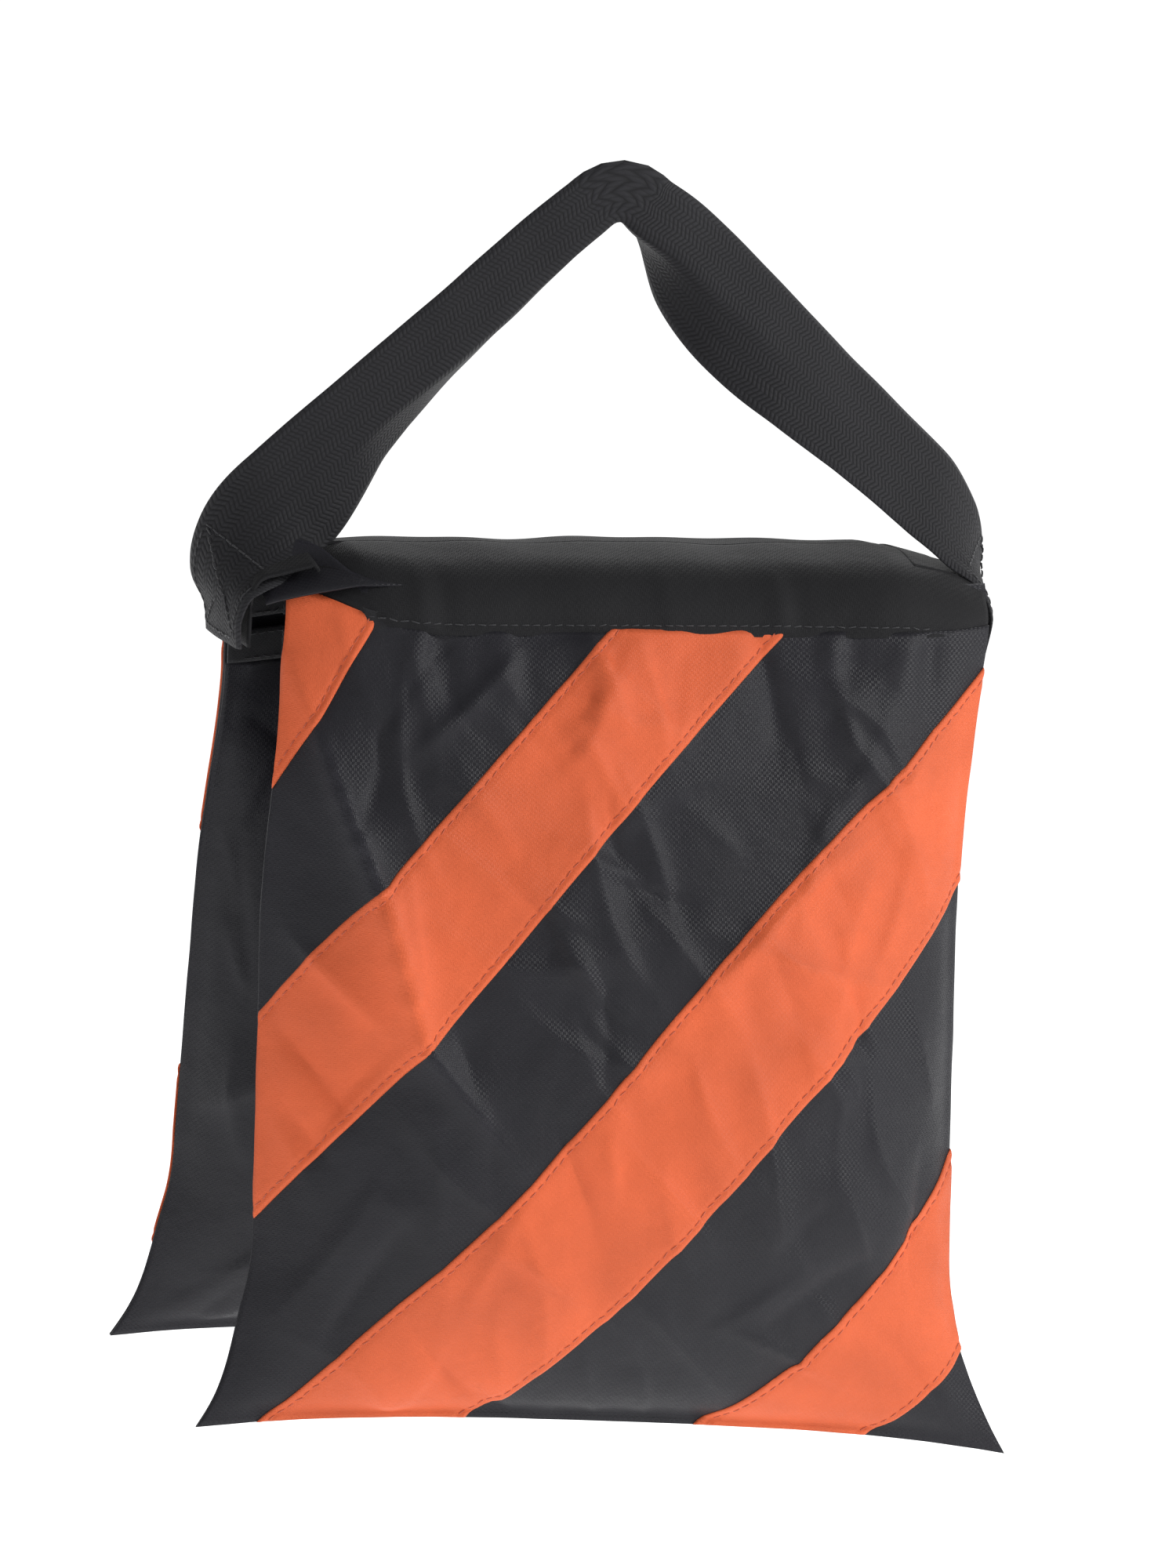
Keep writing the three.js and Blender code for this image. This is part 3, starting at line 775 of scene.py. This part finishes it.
def crumple(u, v, seed):
    """Short crisp creases over a panel, most of them running down to the right, and soft gathers
    under the top seam: offsets outwards in millimetres."""
    rng = np.random.default_rng(seed)
    total = np.zeros_like(u)
    bottom = v.max()
    for _ in range(CREASE_COUNT):
        at_u, at_v = rng.uniform(-104, 104), rng.uniform(28, bottom - 12)
        turn = math.radians(rng.choice(CREASE_TURNS) + rng.normal(0, 13))
        length, height = rng.uniform(*CREASE_LENGTHS), rng.uniform(*CREASE_HEIGHTS)
        height *= rng.choice((1, 1, -1))
        sharp, soft = rng.uniform(1.8, 3.2), rng.uniform(6, 12)
        if rng.random() < 0.5:
            sharp, soft = soft, sharp
        bend = rng.normal(0, 0.006)
        du, dv = u - at_u, v - at_v
        along = du * math.cos(turn) - dv * math.sin(turn)
        off = du * math.sin(turn) + dv * math.cos(turn) + bend * along ** 2
        taper = np.maximum(0, 1 - (along / length) ** 2) ** 1.5
        total += height * taper * np.exp(-np.abs(off) / np.where(off < 0, sharp, soft))
    below = v - GATHER_DEPTH
    for at_u, height, width in GATHERS:
        drift = at_u + below * rng.normal(0, 0.12)
        total += height * np.exp(-((u - drift) / width) ** 2) * np.exp(-(below / GATHER_FADE) ** 2)
    return total


def ridge_at(points):
    """Signed distance (positive to the right) from the front pouch's ridge, and its height there."""
    x, depth = points[..., 0], -points[..., 2]
    best = np.full(x.shape, 1e9)
    signed = np.zeros_like(best)
    value = np.zeros_like(best)
    for (x0, d0), (x1, d1), v0, v1 in zip(RIDGE, RIDGE[1:], RIDGE_HEIGHT, RIDGE_HEIGHT[1:]):
        run = np.array([x1 - x0, d1 - d0], float)
        t = np.clip(((x - x0) * run[0] + (depth - d0) * run[1]) / (run @ run), 0, 1)
        dx, dy = x - (x0 + t * run[0]), depth - (d0 + t * run[1])
        length = np.hypot(dx, dy)
        side = np.sign(dx * run[1] - dy * run[0])
        closer = length < best
        best = np.where(closer, length, best)
        signed = np.where(closer, length * np.where(side == 0, 1, side), signed)
        value = np.where(closer, v0 + (v1 - v0) * t, value)
    return signed, value


def raise_ridge(points, across):
    """Raises the ridge in an outer sheet; it falls away on its left and on its right."""
    signed, height = ridge_at(points)
    fall = np.exp(-np.abs(signed) / np.where(signed < 0, *RIDGE_SIDES))
    moved = points.copy()
    moved[..., 1] -= height * fall * (1 - np.abs(across) ** 10)
    return moved


# ---- pieces from grids ----
def slab(name, grid, normals, u, v, thickness, material, wear_and_highlight=None):
    """A closed sheet of cloth from a grid of outer points in millimetres, thickened inwards."""
    rows, columns = grid.shape[:2]
    count = rows * columns
    front = grid.reshape(-1, 3)
    back = (grid - normals * thickness).reshape(-1, 3)
    faces = grid_faces(columns, rows)
    towards = np.cross(grid[1, 0] - grid[0, 0], grid[0, 1] - grid[0, 0])
    flip = (towards @ normals[0, 0]) < 0
    if flip:
        faces = [f[::-1] for f in faces]
    faces = faces + [tuple(i + count for i in reversed(f)) for f in faces]
    index = np.arange(count).reshape(rows, columns)
    rim = list(index[0, :-1]) + list(index[:-1, -1]) + list(index[-1, :0:-1]) + list(index[:0:-1, 0])
    for a, b in zip(rim, rim[1:] + rim[:1]):
        quad = (int(a), int(b), int(b) + count, int(a) + count)
        faces.append(quad[::-1] if not flip else quad)
    cloth = np.stack([u, v, np.zeros_like(u)], -1).reshape(-1, 3)
    worn_and_highlit = np.zeros(count) if wear_and_highlight is None else wear_and_highlight.ravel()
    obj = make_object(name, np.concatenate([front, back]) * MM, faces, material,
                      np.concatenate([cloth, cloth]), np.concatenate([worn_and_highlit, worn_and_highlit]))
    face_outwards(obj)
    return obj


def smooth_noise(points, seed, size, amount):
    """Seeded soft noise at points in millimetres: a sum of waves about that long."""
    rng = np.random.default_rng(seed)
    total = np.zeros(points.shape[:-1])
    for _ in range(14):
        direction = rng.normal(0, 1, 3)
        direction /= np.linalg.norm(direction)
        wave = size * rng.uniform(0.6, 1.7)
        total += np.sin(points @ direction * 2 * math.pi / wave + rng.uniform(0, 2 * math.pi))
    return total * amount / math.sqrt(7)


# ---- one pouch ----
# how far from an edge the cloth is rubbed pale, in millimetres
EDGE_WEAR, SEAM_WEAR, STRIPE_WEAR, SELVEDGE_WEAR = 1.2, 3.0, 1.6, 1.3
ZIP_DEPTH = 27.6
STRIP_THICK = 0.8
ROLLED_IN = 10
ROLLED_DEPTH = 15
ENDS_DRAWN_IN = 3.5
COIL_HALF_LENGTH = 68
COIL_PITCH = 1.55
COIL_STAND = 2.3
COIL_HALF_THICK = 0.75
COIL_HALF_WIDTH = 1.75
COIL_FILAMENT = 0.34


def pouch_cloths(prefix, seed):
    rear = prefix == "rear"
    body = prefix + "_pouch"
    outer, inner = simulate_pouch(prefix + "_simulation", seed)
    across, down = grid_across_down()
    shape = (*across.shape, 3)
    outer = outer.reshape(shape)
    if not rear:
        outer = raise_ridge(outer, across)
    fine_across = refine_grid(across)
    faces = (("outer", outer, -1, 5), ("inner", inner.reshape(shape), 1, 9))
    for name, grid, side, seed_step in faces:
        u, v = (refine_grid(g) for g in arc_coordinates(pouch_surface(across, down, side)))
        grid = refine_grid(grid)
        fold, height = ridge_at(grid)
        # The ridge's crest: it raises the cloth there, and below it also paints a highlight along the ridge.
        crest = np.exp(-np.abs(fold) / CREST_WIDTH) * height / max(RIDGE_HEIGHT) * (side < 0 and not rear)
        grid = to_row_mm(grid, rear)
        normals = grid_normals(grid, -side if rear else side)
        edge = np.minimum((1 - np.abs(fine_across)) * WAIST_HALF_WIDTH, v[-1:] - v)
        held = smoothstep(edge, 0.5, 10) * smoothstep(v, 18, 26)
        offset = crumple(u, v, seed + seed_step) * held
        grid = grid + normals * (CLOTH_THICK + offset + CREST_HEIGHT * crest)[..., None]
        normals = grid_normals(grid, -side if rear else side)
        # Real wear rubbed pale along the seams, plus a painted highlight along the ridge's crest, which is
        # not wear.
        wear_and_highlight = np.maximum(0.3 * np.exp(-np.maximum(edge, 0) / SEAM_WEAR), crest)
        cloth = slab(f"{prefix}_{name}_cloth", grid, normals, u, v, CLOTH_THICK, black_cloth, wear_and_highlight)
        stands_for(cloth, body, f"{prefix}_{name}_panel")
        if side < 0:
            sheet = {"u": u, "v": v, "points": grid, "normals": normals}
    for number, lines in enumerate(STRIPE_LINES, 1):
        points, flat, faces, inset, seams = cut_stripe(sheet, lines)
        stripe = make_object(f"{prefix}_stripe_cloth_{number}", points * MM, faces, orange_cloth,
                             flat, np.exp(-inset / STRIPE_WEAR))
        thicken(stripe, STRIPE_THICK * MM)
        stands_for(stripe, body, f"{prefix}_stripe_{number}")
        seams = [s for s in seams if len(s[0]) > 3]
        stitches(f"{prefix}_stripe_stitches_{number}", seams, orange_thread, body)


def pouch_strip(prefix, name, node, low_depth, high_depth, stand, thickness, material, seed):
    """A straight strip across the inner face: the yoke or one of the zip's tapes."""
    rear = prefix == "rear"
    columns, rows = 113, 9
    across, t = np.meshgrid(np.linspace(-1, 1, columns), np.linspace(0, 1, rows))
    depth = low_depth + (high_depth - low_depth) * t
    x = across * half_width(depth)
    y = SEAM_GAP + thickness + stand * (1 - np.abs(across) ** 8) + corner_pull(across, depth)
    y = y + smooth_noise(np.stack([x, depth, 0 * x], -1), seed, 60, 0.25) * (1 - across ** 4)
    rolled_in = ROLLED_IN * np.maximum(0, 1 - depth / ROLLED_DEPTH) ** 1.5
    rolled_in = rolled_in + ENDS_DRAWN_IN * smoothstep(np.abs(x), 78, 106)
    straight = np.stack([x, y + rolled_in, -depth], -1)
    beyond_zip = smoothstep(np.abs(x), COIL_HALF_LENGTH, 102)[..., None]
    grid = to_row_mm(straight + (settle(straight, rear) - straight) * beyond_zip, rear)
    normals = grid_normals(grid, -1 if rear else 1)
    edge = np.minimum(depth - low_depth, high_depth - depth)
    strip = slab(f"{prefix}_{name}", grid, normals, x, depth, thickness, material,
                 np.exp(-edge / EDGE_WEAR))
    stands_for(strip, prefix + "_pouch", f"{prefix}_{node}")
    return [(grid[row, 2:-2], normals[row, 2:-2]) for row in (1, rows - 2)]


def zip_coil(prefix):
    """The zip's nylon coil: one filament wound along the row of teeth."""
    rear = prefix == "rear"
    steps, sides = 12, 6
    turns = int(2 * COIL_HALF_LENGTH / COIL_PITCH)
    t = np.arange(turns * steps + 1) / steps
    angle = t * 2 * math.pi
    centre = np.stack([-COIL_HALF_LENGTH + t * COIL_PITCH, COIL_STAND + COIL_HALF_THICK * np.cos(angle),
                       -ZIP_DEPTH + COIL_HALF_WIDTH * np.sin(angle)], -1)
    tangent = unit(np.gradient(centre, axis=0))
    first = unit(np.cross(tangent, (1, 0, 0)))
    second = np.cross(tangent, first)
    ring = np.arange(sides) * 2 * math.pi / sides
    around = np.cos(ring)[:, None] * first[:, None] + np.sin(ring)[:, None] * second[:, None]
    points = centre[:, None] + COIL_FILAMENT * around
    coil = make_object(f"{prefix}_zip_teeth", to_row(points.reshape(-1, 3), rear),
                       tube_faces(0, len(centre), sides), zip_nylon)
    stands_for(coil, prefix + "_pouch", f"{prefix}_zip_coil")


def filling(prefix, name, node, top, bottom, share, lumps, material, seed):
    """A closed soft form inside the pouch, whose bulges are a share of the pouch's: the liner bag or
    the heap of sand in it."""
    rear = prefix == "rear"
    columns, rows = 49, 45
    across, down = np.meshgrid(np.linspace(-1, 1, columns), np.linspace(0, 1, rows))
    depth = top + (bottom - top) * down
    x = across * (half_width(depth) - 8) * (1 - 0.12 * (1 - down) ** 6)
    swell = (np.maximum(0, 1 - across ** 4) * np.maximum(0, 1 - (2 * down - 1) ** 6)) ** 0.5
    shape = belly(across * 0.9, np.clip(0.12 + 0.8 * down, 0, 1))
    pull = corner_pull(across, depth)
    halves = []
    for side, bulge in ((-1, OUTER_BULGE), (1, INNER_BULGE)):
        y = side * (0.3 + bulge * share * shape) * swell + pull
        points = np.stack([x, y, -depth], -1)
        points[..., 1] += side * swell * smooth_noise(points, seed + side, 34, lumps)
        points = settle(points, rear)
        halves.append(to_row_mm(points, rear).reshape(-1, 3))
    count = columns * rows
    index = np.arange(count).reshape(rows, columns)
    rim = np.zeros(count, bool)
    rim[np.concatenate([index[0], index[-1], index[:, 0], index[:, -1]])] = True
    second = np.where(rim, np.arange(count), np.arange(count) + count)
    faces = grid_faces(columns, rows)
    faces = faces + [tuple(int(second[i]) for i in reversed(f)) for f in faces]
    obj = make_object(f"{prefix}_{name}", np.concatenate(halves) * MM, faces, material)
    face_outwards(obj)
    stands_for(obj, prefix + "_pouch", f"{prefix}_{node}")


# ---- the saddle ----
SADDLE_TOP_Z = -97
SADDLE_HALF_DEPTH = 31
SADDLE_THICK = 1.1
CROWN = 6
LEFT_DROP = 9
RIGHT_DROP = 7
TOP_EDGE_RADIUS = 15
BAND_LAP = 1.6
BAND_STAND = 2.6
# (place across, height) of the soft ripples in the hanging band
BAND_RIPPLES = ((-64, 0.8), (-57, -0.6), (47, 0.7), (53, -0.5), (12, 0.35))
BAND_RIPPLE_WIDTH = 3.2
DROOP_START = 0.74
EDGE_AT = 34
TOP_SHARE, FALL_SHARE = 0.7, 0.85
BAND_STITCH_INSET = 3.2


def saddle_top(across):
    """The height of the saddle's middle line: its ends droop, the left one further."""
    ramp = np.maximum(0, (np.abs(across) - DROOP_START) / (1 - DROOP_START)) ** 1.2
    return SADDLE_TOP_Z - np.where(across < 0, LEFT_DROP, RIGHT_DROP) * ramp


def saddle_half(prefix, seed):
    """Half of the saddle cloth: from the middle of the top, over its round edge, to the panel's seam."""
    rear = prefix == "rear"
    columns = 2 * COLUMNS + 1
    across = np.linspace(-1, 1, columns)
    end_depth = seam_depth(across) + BAND_LAP
    stand = SEAM_GAP + BAND_STAND * (1 - np.abs(across) ** 8)
    pulled = corner_pull(across, end_depth)
    end = np.stack([across * half_width(end_depth), pulled - stand, -end_depth], -1)
    settled = settle(end, rear)
    drawn = settled - end
    end = to_row_mm(settled, False)
    top = saddle_top(-across if rear else across)
    x = across * TOP_HALF_WIDTH + drawn[:, 0] * 0.6
    start = np.stack([x, 0 * x, top], -1)
    edge_y = -(SADDLE_HALF_DEPTH + 0.8 - pulled) + drawn[:, 1]
    corner = np.stack([x + drawn[:, 0] * 0.2, edge_y, top - 0.4], -1)
    to_start, to_end = start - corner, end - corner
    length_start = np.linalg.norm(to_start, axis=1, keepdims=True)
    length_end = np.linalg.norm(to_end, axis=1, keepdims=True)
    round_start = corner + to_start / length_start * np.minimum(TOP_EDGE_RADIUS, length_start * TOP_SHARE)
    round_end = corner + to_end / length_end * np.minimum(TOP_EDGE_RADIUS, length_end * FALL_SHARE)
    rows = [start + (round_start - start) * t for t in np.linspace(0, 1, 12)]
    for t in np.linspace(0, 1, 12)[1:]:
        rows.append((1 - t) ** 2 * round_start + 2 * t * (1 - t) * corner + t ** 2 * round_end)
    rows += [round_end + (end - round_end) * t for t in np.linspace(0, 1, 16)[1:]]
    grid = np.array(rows)
    share = np.clip(grid[..., 1] / edge_y, 0, 1) ** 2
    fall = np.clip((grid[..., 2] - end[:, 2]) / np.maximum(top - end[:, 2], 1), 0, 1)
    grid[..., 2] -= np.minimum(CROWN, 0.4 * np.maximum(top - end[:, 2], 0)) * share * fall
    if rear:
        grid = grid * (-1, -1, 1)
    normals = saddle_normals(grid)
    u = grid[..., 0] * (-1 if rear else 1)
    v = arc_length(grid)
    hang = smoothstep(v, 18, 40)
    ripple = sum(height * np.exp(-((u - at) / BAND_RIPPLE_WIDTH) ** 2) for at, height in BAND_RIPPLES) * hang
    ripple = ripple + smooth_noise(grid, 31, 45, 0.3) + smooth_noise(grid, seed, 16, 0.1) * hang
    hold = (1 - np.abs(across) ** 12) * smoothstep(v[-1:] - v, -0.1, 3)
    grid = grid + normals * (ripple * hold)[..., None]
    edge = v[-1:] - v
    wear_and_highlight = np.maximum(np.exp(-edge / EDGE_WEAR), 0.5 * np.exp(-((v - EDGE_AT) / 4) ** 2))
    piece = slab(f"{prefix}_saddle_roll", grid, normals, u, v, SADDLE_THICK, saddle_fabric, wear_and_highlight)
    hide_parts(*([f"{prefix}_top_band"] + ([] if rear else ["saddle_cloth"])))
    blend_saddle(piece)
    seam_row = int(np.argmin(np.abs(edge[:, columns // 2] - BAND_STITCH_INSET)))
    keep = slice(12, columns - 12)
    line = (grid[seam_row, keep], saddle_normals(grid)[seam_row, keep])
    thread = stitches(f"{prefix}_band_stitches", [line], black_thread, None)
    blend_saddle(thread)


def saddle_normals(grid):
    """Unit normals of the saddle's grid, pointing up and outwards."""
    normal = grid_cross(grid)
    return normal * np.sign(normal[0, normal.shape[1] // 2, 2])


def blend_saddle(piece):
    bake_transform(piece)


def saddle_lining():
    columns, rows = 97, 25
    across, side = np.meshgrid(np.linspace(-0.985, 0.985, columns), np.linspace(-1, 1, rows))
    x = across * (TOP_HALF_WIDTH - 2)
    y = side * (SADDLE_HALF_DEPTH - 3 - corner_pull(across, 20 * np.ones_like(x)))
    z = saddle_top(across) - SADDLE_THICK - 1.0 - CROWN * side ** 2
    grid = np.stack([x, y, z], -1)
    grid[..., 2] -= 0.35 + smooth_noise(grid, 77, 40, 0.25)
    normals = saddle_normals(grid)
    lining = slab("saddle_liner", grid, normals, x, y, 0.6, black_cloth)
    stands_for(lining, "saddle", "saddle_lining")


TAB_START_X = 92
TAB_X = 112.6
TAB_END_Z = -127
TAB_STAND = 0.7
TAB_SUNK = 2.2
TAB_HALF_WIDTHS = (18.5, 15.5)


def saddle_tab(name, sign):
    """A cloth end of the saddle that turns down behind the handle's tail and is sewn to it."""
    rows, columns = 30, 17
    path = []
    for x in np.linspace(TAB_START_X, 105, 10):
        sunk = TAB_SUNK if x == TAB_START_X else 0
        path.append((x, float(saddle_top(np.array(sign * x / TOP_HALF_WIDTH))) + TAB_STAND - sunk))
    last = np.array(path[-1])
    corner, down = np.array((TAB_X, last[1] - 2.5)), np.array((TAB_X, last[1] - 12))
    for t in np.linspace(0, 1, 9)[1:]:
        path.append(tuple((1 - t) ** 2 * last + 2 * t * (1 - t) * corner + t * t * down))
    for z in np.linspace(path[-1][1], TAB_END_Z, rows - len(path) + 1)[1:]:
        path.append((TAB_X, z))
    path = np.array(path)
    across, _ = np.meshgrid(np.linspace(-1, 1, columns), np.zeros(rows))
    half = np.interp(path[:, 0], (TAB_START_X, TAB_X), TAB_HALF_WIDTHS)[:, None]
    lying = smoothstep(path[:, 0], TAB_X, 104)[:, None]
    grid = np.stack([sign * np.repeat(path[:, :1], columns, 1), across * half,
                     path[:, 1:] - lying * CROWN * (across * half / SADDLE_HALF_DEPTH) ** 2], -1)
    normals = grid_cross(grid)
    normals *= np.sign(normals[-1, columns // 2, 0] * sign)
    run = arc_length(path)
    u, v = across * half, np.repeat(run[:, None], columns, 1)
    edge = np.minimum((1 - np.abs(across)) * half, run[-1] - v)
    tab = slab(name, grid, normals, u, v, 1.0, saddle_fabric, np.exp(-edge / EDGE_WEAR))
    stands_for(tab, "saddle", "saddle_tab_left" if sign < 0 else "saddle_tab_right")


# ---- the handle ----
STRAP_HALF_WIDTH = 18.6
STRAP_THICK = 2.1
STRAP_STATIONS = 300
STRAP_COLUMNS = 21
STRAP_PATH = ((-116, -127), (-117, -118), (-117, -109), (-111, -99), (-98, -86), (-75, -64.5), (-45, -37.5),
              (-20, -15), (-6, -3.2), (0, 0.8), (6, -2.8), (23, -14), (58, -44), (86, -67.5), (104, -83),
              (115, -96), (119.5, -106), (119.5, -116), (117, -127))
# (x on the path, roll in degrees)
STRAP_ROLL = ((-111, 45), (-98, 8), (-75, 2), (0, 0), (23, 16), (58, 32), (86, 38), (104, 42), (115, 54))
# (millimetres from the crest, lengthwise fold in degrees)
STRAP_FOLD = ((-300, 0), (-142, 0), (-125, 14), (-100, 46), (-65, 70), (-35, 85), (-15, 102), (0, 125),
              (14, 98), (30, 66), (50, 36), (75, 12), (100, 0), (300, 0))
FOLD_SOFTNESS = 0.14
BOX_ROWS = 22


def catmull(points, count):
    """A smooth path through points, resampled evenly by length."""
    p = np.array(points, float)
    p = np.concatenate([2 * p[:1] - p[1:2], p, 2 * p[-1:] - p[-2:-1]])
    dense = []
    for a, b, c, d in zip(p, p[1:], p[2:], p[3:]):
        for t in np.linspace(0, 1, 24, endpoint=False):
            dense.append(0.5 * ((2 * b) + (c - a) * t + (2 * a - 5 * b + 4 * c - d) * t * t
                                + (3 * b - a - 3 * c + d) * t ** 3))
    dense = np.array(dense + [p[-2]])
    run = arc_length(dense)
    even = np.linspace(0, run[-1], count)
    return np.stack([np.interp(even, run, dense[:, k]) for k in (0, 1)], -1), even


def strap():
    """The webbing handle: folded lengthwise at its crest, twisting down to both ends of the saddle."""
    path, run = catmull(STRAP_PATH, STRAP_STATIONS)
    tangent = unit(np.gradient(path, axis=0))
    knots = np.array(STRAP_PATH, float)
    nearest = [int(np.argmin(((path - k) ** 2).sum(1))) for k in knots]
    by_x = dict(STRAP_ROLL)
    marks = [(run[n], by_x[k[0]]) for n, k in zip(nearest, knots) if k[0] in by_x]
    marks = [(0, 90), (run[nearest[1]], 89)] + marks + [(run[nearest[-2]], 89), (run[-1], 90)]
    roll = np.radians(np.interp(run, *zip(*marks)))
    away = run - run[int(np.argmin(np.abs(path[:, 0])))]
    fold = np.radians(np.interp(away, *zip(*STRAP_FOLD)))
    for _ in range(6):
        roll[1:-1] = (roll[:-2] + 2 * roll[1:-1] + roll[2:]) / 4
        fold[1:-1] = (fold[:-2] + 2 * fold[1:-1] + fold[2:]) / 4
    inwards = np.stack([tangent[:, 1], 0 * run, -tangent[:, 0]], -1)
    y_axis = np.array([0, 1, 0])
    wide = np.cos(roll)[:, None] * inwards - np.sin(roll)[:, None] * y_axis
    back = np.sin(roll)[:, None] * inwards + np.cos(roll)[:, None] * y_axis
    q = np.linspace(-1, 1, STRAP_COLUMNS)
    fine = np.linspace(-1, 1, 401)
    front_points, back_points = [], []
    for k in range(STRAP_STATIONS):
        angle = fold[k] * smoothstep(fine, -FOLD_SOFTNESS, FOLD_SOFTNESS)
        sine, cosine = np.sin(angle)[:, None], np.cos(angle)[:, None]
        steps = (cosine * wide[k] + sine * back[k]) * STRAP_HALF_WIDTH
        moves = (steps[1:] + steps[:-1]) / (len(fine) - 1)
        curve = np.concatenate([np.zeros((1, 3)), np.cumsum(moves, axis=0)])
        curve -= curve[len(curve) // 2]
        normal = -sine * wide[k] + cosine * back[k]
        centre = np.array([path[k, 0], 0, path[k, 1]])
        rows = [np.stack([np.interp(q, fine, c[:, i]) for i in range(3)], -1) for c in (curve, normal)]
        half = STRAP_THICK / 2 * (0.25 + 0.75 * np.sqrt(np.maximum(0, 1 - np.abs(q) ** 10)))[:, None]
        front_points.append(centre + rows[0] - rows[1] * half)
        back_points.append(centre + rows[0] + rows[1] * half)
    front, rear = np.array(front_points), np.array(back_points)
    shift = smooth_noise(front, 9, 70, 0.5) + smooth_noise(front, 10, 24, 0.12)
    offset = unit(front - rear) * shift[..., None]
    front, rear = front + offset, rear + offset
    u, v = np.meshgrid(q * STRAP_HALF_WIDTH, run)
    wear_and_highlight = np.exp(-(1 - np.abs(q)) * STRAP_HALF_WIDTH / SELVEDGE_WEAR)[None, :].repeat(STRAP_STATIONS, 0)
    thickness = np.linalg.norm(front - rear, axis=2, keepdims=True)
    normals = (front - rear) / thickness
    # the normals carry the strap's own thickness, which thins towards its edges
    piece = slab("webbing_strap", front, normals * thickness, u, v, 1.0, webbing, wear_and_highlight)
    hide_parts("handle_strap", "handle_tail_left", "handle_tail_right")
    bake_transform(piece)
    low, high = 2, STRAP_COLUMNS - 3
    diagonal = np.linspace(low, high, BOX_ROWS)
    for label, turn in (("left", 1), ("right", -1)):
        block, out = front[::turn][2:2 + BOX_ROWS], normals[::turn][2:2 + BOX_ROWS]
        lines = [(block[row, low:high + 1], out[row, low:high + 1]) for row in (0, -1)]
        lines += [(block[:, column], out[:, column]) for column in (low, high)]
        for columns in (diagonal, low + high - diagonal):
            at = (np.arange(BOX_ROWS), np.rint(columns).astype(int))
            lines.append((smooth_line(block[at]), out[at]))
        stitches(f"tail_stitches_{label}", lines, black_thread, "saddle", radius=0.32, pitch=3.0)


def smooth_line(points):
    """Straightens a line of points between its ends, which keeps each one's x."""
    start, end = points[0], points[-1]
    t = np.linspace(0, 1, len(points))[:, None]
    straight = start + (end - start) * t
    straight[:, 0] = points[:, 0]
    return straight


# ---- materials ----
# The black cloth's large pale tint of 2.6 paints the bright highlight along the front pouch's ridge, as well
# as paler worn seams.
black_cloth = cloth_material("black_oxford", (0.0130, 0.0125, 0.0170), 0.46, sheen=0.04, worn_and_highlit=2.6)
orange_cloth = cloth_material("orange_oxford", (0.76, 0.135, 0.045), 0.55, sheen=0.04, worn_and_highlit=1.12)
saddle_fabric = cloth_material("saddle_twill", (0.0085, 0.0084, 0.0098), 0.75, pitch=1.1, weave=0.6,
                               sheen=0.04)
webbing = webbing_material("polypropylene_webbing", (0.0170, 0.0168, 0.0195))
zip_weave = cloth_material("zip_tape_weave", (0.02, 0.02, 0.023), 0.8, pitch=0.6, weave=0.8)
orange_thread = thread_material("orange_thread", (0.62, 0.12, 0.05))
black_thread = thread_material("black_thread", (0.03, 0.03, 0.034))
zip_nylon = plastic_material("zip_nylon", (0.018, 0.018, 0.02))
zip_metal = metal_material("zip_painted_zinc", (0.02, 0.02, 0.022), (0.62, 0.6, 0.56))
liner_film = film_material("liner_polythene")
sand = sand_material("washed_sand")

for prefix, seed in (("front", 3), ("rear", 11)):
    filling(prefix, "liner_film", "liner_bag", LINER_TOP, LINER_BOTTOM, LINER_SHARE, 1.2,
            liner_film, seed)
    filling(prefix, "sand_heap", "sand_fill", SAND_TOP, SAND_BOTTOM, SAND_SHARE, 0.6,
            sand, seed + 40)
    pouch_cloths(prefix, seed)
    seams = []
    for name, node, low, high, stand, material, slot, strip_seed in (
            ("yoke_cloth", "inner_yoke", 7, 15, 1.2, black_cloth, "black_cloth", 1),
            ("zip_tape_above", "zip_tape_upper", 15.3, 25.5, 1.0, zip_weave, "zip_tape", 2),
            ("zip_tape_below", "zip_tape_lower", 29.7, 40.0, 1.0, zip_weave, "zip_tape", 3)):
        seams += pouch_strip(prefix, name, node, low, high, stand, STRIP_THICK, material, strip_seed)
    stitches(f"{prefix}_zip_stitches", seams, black_thread, prefix + "_pouch")
    zip_coil(prefix)
    saddle_half(prefix, seed + 60)
    for part in ("zip_slider", "zip_puller", "zip_end_stop", "zip_top_stop"):
        for entry in frame["nodes"][f"{prefix}_{part}"].material_slots:
            entry.material = zip_metal

saddle_lining()
saddle_tab("saddle_tab_cloth_left", -1)
saddle_tab("saddle_tab_cloth_right", 1)
strap()
add_stage()
add_camera()
